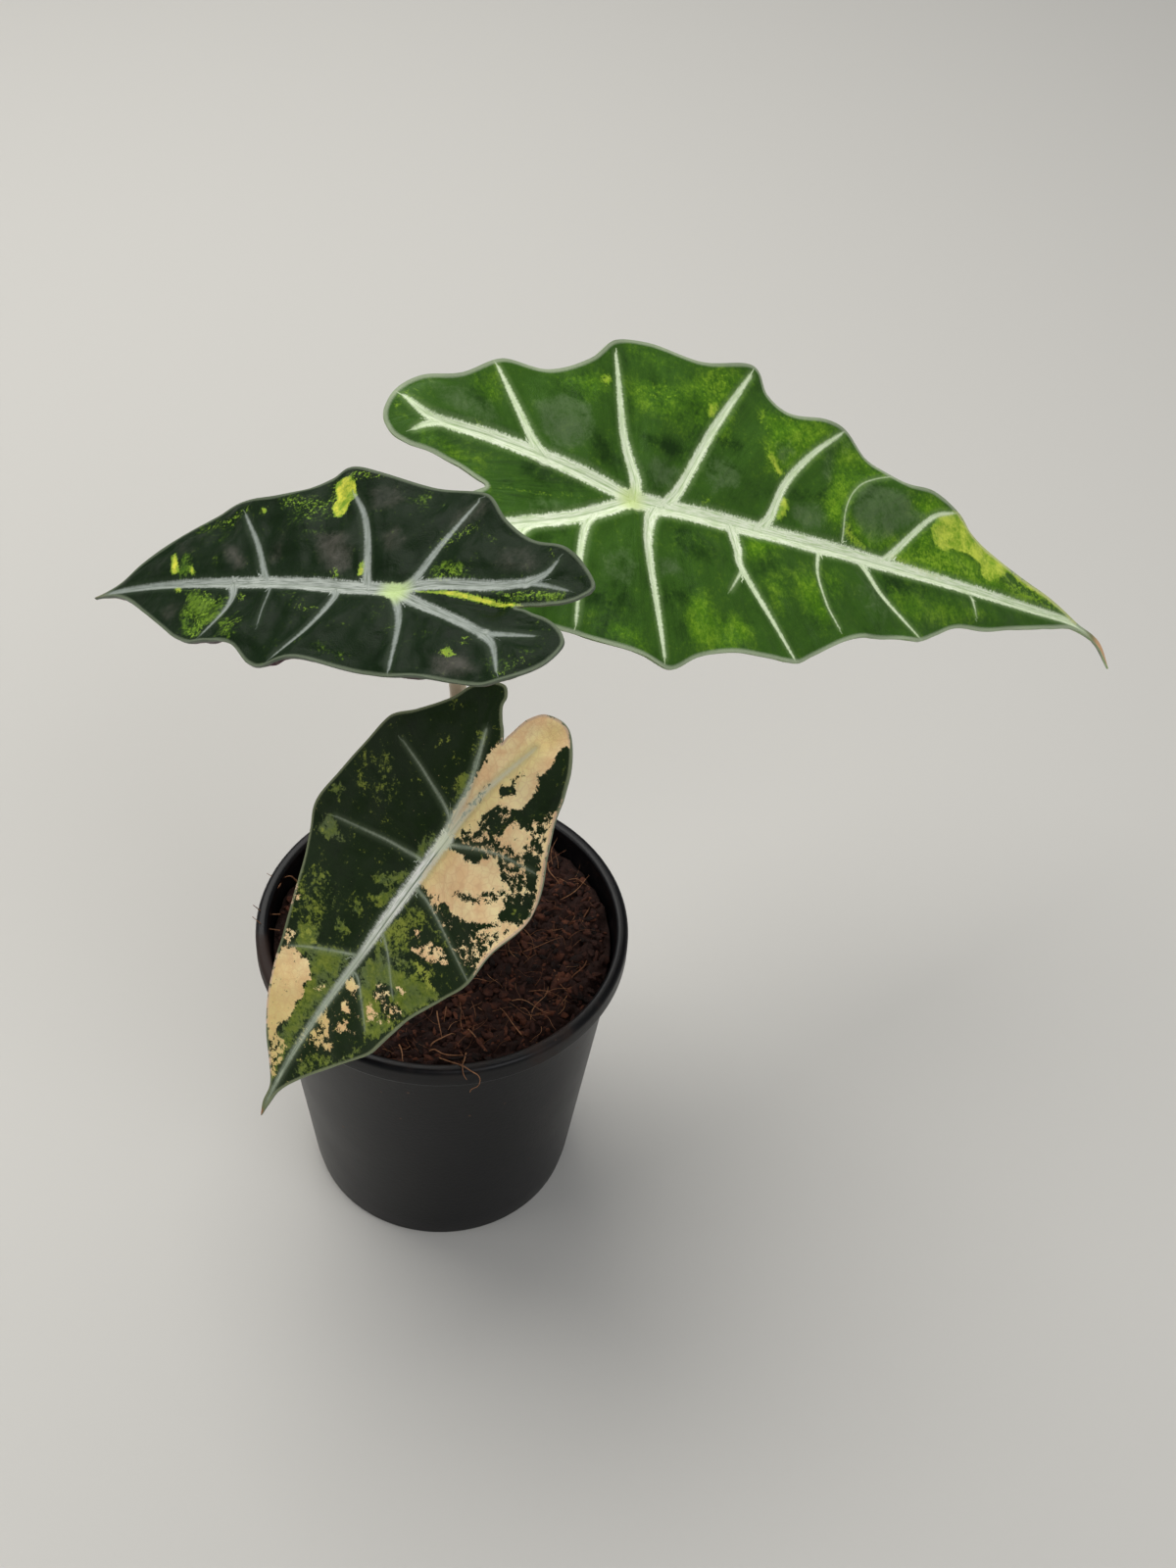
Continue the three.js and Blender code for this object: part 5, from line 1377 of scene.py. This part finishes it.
def coirBed():
    form = coirForm
    foot, low, steps, rings = form["footRadius"], form["footLevel"], form["sideSteps"], form["rings"]
    outline = [(0, low), (foot, low)]
    for k in range(1, steps + 1):
        radius = foot + (form["radius"] - foot) * k / steps
        outline.append((radius, low + (form["level"] - 6.0) * k / steps))
    outline += [(form["radius"] * (1 - k / rings), form["level"]) for k in range(1, rings + 1)]
    bed = spinOutline("coirBed", outline, form["turns"])
    places = readPoints(bed) / mm
    top = places[:, 2] > form["level"] - 1.5
    x, y = places[:, 0], places[:, 1]
    seed = form["seed"]
    crumbs = softLumps(x, y, 5.5, seed) * 0.45 + softLumps(x, y, 2.6, seed + 1) * 0.4
    crumbs = crumbs + np.abs(softLumps(x, y, 3.6, seed + 2)) * 0.5
    feet = 0
    for stalk in stalks:
        away = np.hypot(x - stalk["foot"][0], y - stalk["foot"][1])
        feet = feet + np.exp(-(away / form["heapRadius"]) ** 2) * form["heap"]
    brink = np.clip((form["radius"] - np.hypot(x, y)) / 4, 0, 1)
    height = coirHeight(x, y) + crumbs * (0.4 + 0.6 * brink) + feet - 0.3
    places[:, 2] = np.where(top, height, places[:, 2])
    setPoints(bed, places * mm)
    giveField(bed, "tint", np.zeros(len(places)))
    wear(bed, coirFinish("coirBedding", ink(46, 26, 20), ink(74, 42, 30), ink(24, 15, 12)))
    smoothOver(bed, 180)
    belong(bed, "soil")


def coirFinish(name, base, warm, deep):
    finish = Finish(name, Roughness=0.85, Specular_IOR_Level=0.25)
    place = finish.node("TexCoord", {}, {}, "Object")
    tint = finish.field("tint", plain=True)
    lumps = finish.unrest(place, 260, 5, 0.68)
    wide = finish.unrest(place, 60, 3, 0.55)
    threads = finish.unrest(place, 900, 4, 0.7, 1.2)
    tone = lumps * 1.1 + wide * 0.7 + threads * 0.7 + tint
    colour = finish.mix(tone.ease(-0.5, 0.05), deep, base)
    colour = finish.mix(tone.ease(0.05, 0.65), colour, warm)
    colour = finish.mix((threads * 1.3 + lumps * 0.5).ease(0.36, 0.5) * 0.4, colour, ink(150, 106, 74))
    return finish.coat(colour, lumps * 0.2 + 0.82, lumps + threads * 0.9, 0.9, 0.0012)


def turned(angle, axis):
    return Matrix.Rotation(angle, 4, axis)


def placed(x, y, z, turning, size):
    # the size is one length, or one along each axis
    if np.ndim(size):
        scale = Matrix.Diagonal([length * mm for length in size] + [1])
    else:
        scale = Matrix.Scale(size * mm, 4)
    return Matrix.Translation(Vector((x, y, z)) * mm) @ turning @ scale


def somewhere(random, reach):
    # a place on the coir, spread evenly
    radius, heading = reach * random.random() ** 0.5, random.uniform(0, 2 * pi)
    return radius, radius * cos(heading), radius * sin(heading)


def scatterCopies(random, templates, places, name):
    # every copy has its own mesh and tint; they are joined into one piece
    copies = []
    for place in places:
        mesh = random.choice(templates).data.copy()
        mesh.transform(place)
        copy = bpy.data.objects.new(name, mesh)
        bpy.context.scene.collection.objects.link(copy)
        giveField(copy, "tint", np.full(len(mesh.vertices), random.uniform(-0.55, 0.6)))
        copies.append(copy)
    joined = joinPieces(copies, name)
    for template in templates:
        bpy.data.objects.remove(template)
    return joined


def crumbTemplate(seed):
    random = Random(seed)
    clearSelection()
    bpy.ops.mesh.primitive_uv_sphere_add(segments=7, ring_count=5, radius=1)
    crumb = bpy.context.object
    inEditMode(crumb, lambda: bpy.ops.transform.resize(
        value=(random.uniform(0.8, 1.5), random.uniform(0.5, 0.8), random.uniform(0.35, 0.6))))
    places = readPoints(crumb)
    rough = softLumps(places[:, 0] * 3 + places[:, 2] * 5, places[:, 1] * 3, 4, seed)
    setPoints(crumb, places * (1 + 0.22 * rough)[:, None])
    return crumb


def coirCrumbs():
    form = coirForm
    random = Random(form["seed"] + 5)
    places = []
    for _ in range(form["crumbs"]):
        radius, x, y = somewhere(random, form["crumbReach"])
        size = form["crumbSize"][0] + form["crumbSize"][1] * random.random() ** 2.2
        if radius < form["chipReach"] and random.random() < form["chipShare"]:
            size = random.uniform(*form["chipSize"])
        z = float(coirHeight(x, y)) + 0.25 * size + random.uniform(-0.3, 0.4)
        turning = turned(random.uniform(0, 2 * pi), "Z") @ turned(random.uniform(-0.6, 0.6), "X")
        turning = turning @ turned(random.uniform(-0.5, 0.5), "Y")
        places.append(placed(x, y, z, turning, size))
    for x, y, z, length, width, heading, dip in barkChips:
        turning = turned(radians(heading), "Z") @ turned(radians(dip), "Y")
        places.append(placed(x, y, z, turning, (length, width, form["barkThickness"])))
    crumbs = scatterCopies(random, [crumbTemplate(seed) for seed in range(40, 48)], places, "coirCrumbs")
    wear(crumbs, coirFinish("coirCrumb", ink(58, 32, 24), ink(98, 57, 39), ink(28, 17, 13)))
    smoothOver(crumbs, 50)
    belong(crumbs, None)


def strandTemplate(seed):
    # a thin curly thread of unit length along X
    random = Random(seed)
    curl, lift = random.uniform(-0.3, 0.3), random.uniform(0.02, 0.2)
    kink = random.uniform(-0.12, 0.12)
    run = np.linspace(0, 1, 8)
    path = np.stack([run, curl * run ** 2 + kink * np.sin(run * 5), lift * np.sin(pi * run)], 1)
    thickness = coirForm["threadRadius"]
    strand = tube("strand", path, lambda step, _: thickness * (1 - 0.75 * step / 7), 4)[0]
    setPoints(strand, readPoints(strand) / mm)
    closeUp(strand)
    return strand


def coirStrands():
    form = coirForm
    random = Random(form["seed"] + 9)
    places = []
    for _ in range(form["strands"]):
        _, x, y = somewhere(random, form["strandReach"])
        short = random.random() < form["shortShare"]
        length = random.uniform(*form["shortLength" if short else "longLength"])
        z = float(coirHeight(x, y)) + random.uniform(0.1, 0.9)
        turning = turned(random.uniform(0, 2 * pi), "Z") @ turned(random.uniform(-0.35, 0.1), "Y")
        turning = turning @ turned(random.uniform(-1.2, 1.2), "X")
        tip = Vector((x, y, z)) + turning.to_3x3() @ Vector((length, 0, 0))
        if tip.xy.length < 55:  # it stays inside the pot
            places.append(placed(x, y, z, turning, length))
    small = scatterCopies(random, [strandTemplate(seed) for seed in range(60, 70)], places, "coirThreads")
    plain, runs = [], [(points, 0.45) for points in rimStrands]
    for x, y, length, heading, rise, bend in longStrands:
        points = [np.array([x, y, float(coirHeight(x, y)) - 2.0])]
        steps = form["strandSteps"]
        for k in range(steps):
            pitch = radians(rise - bend * 2 * k / steps)
            sway = radians(heading) + 0.35 * sin(k * 0.9 + x)
            ahead = np.array([cos(sway) * cos(pitch), sin(sway) * cos(pitch), sin(pitch)])
            points.append(points[-1] + length / steps * ahead)
        runs.append((points, 0.2))
    for points, tint in runs:
        path, thickness = evenPath(points, 26), form["strandRadius"]
        strand = tube("plainStrand", path, lambda step, _: thickness * (1 - 0.6 * step / 25), 8)[0]
        giveField(strand, "tint", np.full(len(strand.data.vertices), tint))
        plain.append(strand)
    strands = joinPieces([small, *plain], "coirStrands")
    closeUp(strands, 0.0005)
    wear(strands, coirFinish("coirThread", ink(116, 76, 52), ink(172, 124, 88), ink(70, 42, 29)))
    smoothOver(strands, 60)
    belong(strands, None)


coirBed()
coirCrumbs()
coirStrands()
print("coir made")


studio = dict(
    floorSize=5.0, floor=ink(196, 194, 189), sky=(0.93, 0.96, 1.0, 1.0), skyStrength=0.24,
    lamps=[
        # name, place, aim, size, power, colour
        ("overhead", (-0.35, 0.5, 1.25), (0.03, 0.0, 0.18), 1.3, 18.5, (1.0, 0.985, 0.95)),
        ("frontFill", (0.8, -1.1, 1.3), (0.02, 0.0, 0.12), 1.2, 10.5, (0.97, 0.98, 1.0)),
        ("leftFill", (-1.5, -0.4, 0.9), (0.0, 0.0, 0.12), 0.8, 4.0, (1.0, 0.98, 0.96)),
    ],
)


def setStudio():
    clearSelection()
    bpy.ops.mesh.primitive_plane_add(size=studio["floorSize"])
    floor = bpy.context.object
    floor.name = "studioFloor"
    inEditMode(floor, lambda: bpy.ops.mesh.subdivide(number_cuts=3))
    paper = Finish("studioPaper", Base_Color=studio["floor"], Roughness=0.9)
    place = paper.node("TexCoord", {}, {}, "Object")
    fibre = paper.cloud(place, 400, 3, 0.6)
    wear(floor, paper.coat(None, None, fibre, 0.05, 0.0005))
    for name, place, aim, size, power, colour in studio["lamps"]:
        clearSelection()
        bpy.ops.object.light_add(type="AREA", location=place)
        lamp = bpy.context.object
        lamp.name = name
        lamp.data.size = size
        lamp.data.energy = power
        lamp.data.color = colour
        lamp.rotation_euler = (Vector(aim) - Vector(place)).to_track_quat("-Z", "Y").to_euler()
    world = bpy.data.worlds.new("studioWorld")
    world.use_nodes = True
    backdrop = world.node_tree.nodes["Background"]
    backdrop.inputs["Color"].default_value = studio["sky"]
    backdrop.inputs["Strength"].default_value = studio["skyStrength"]
    bpy.context.scene.world = world
    bpy.context.scene.view_settings.view_transform = "Standard"


setStudio()
print("studio set")
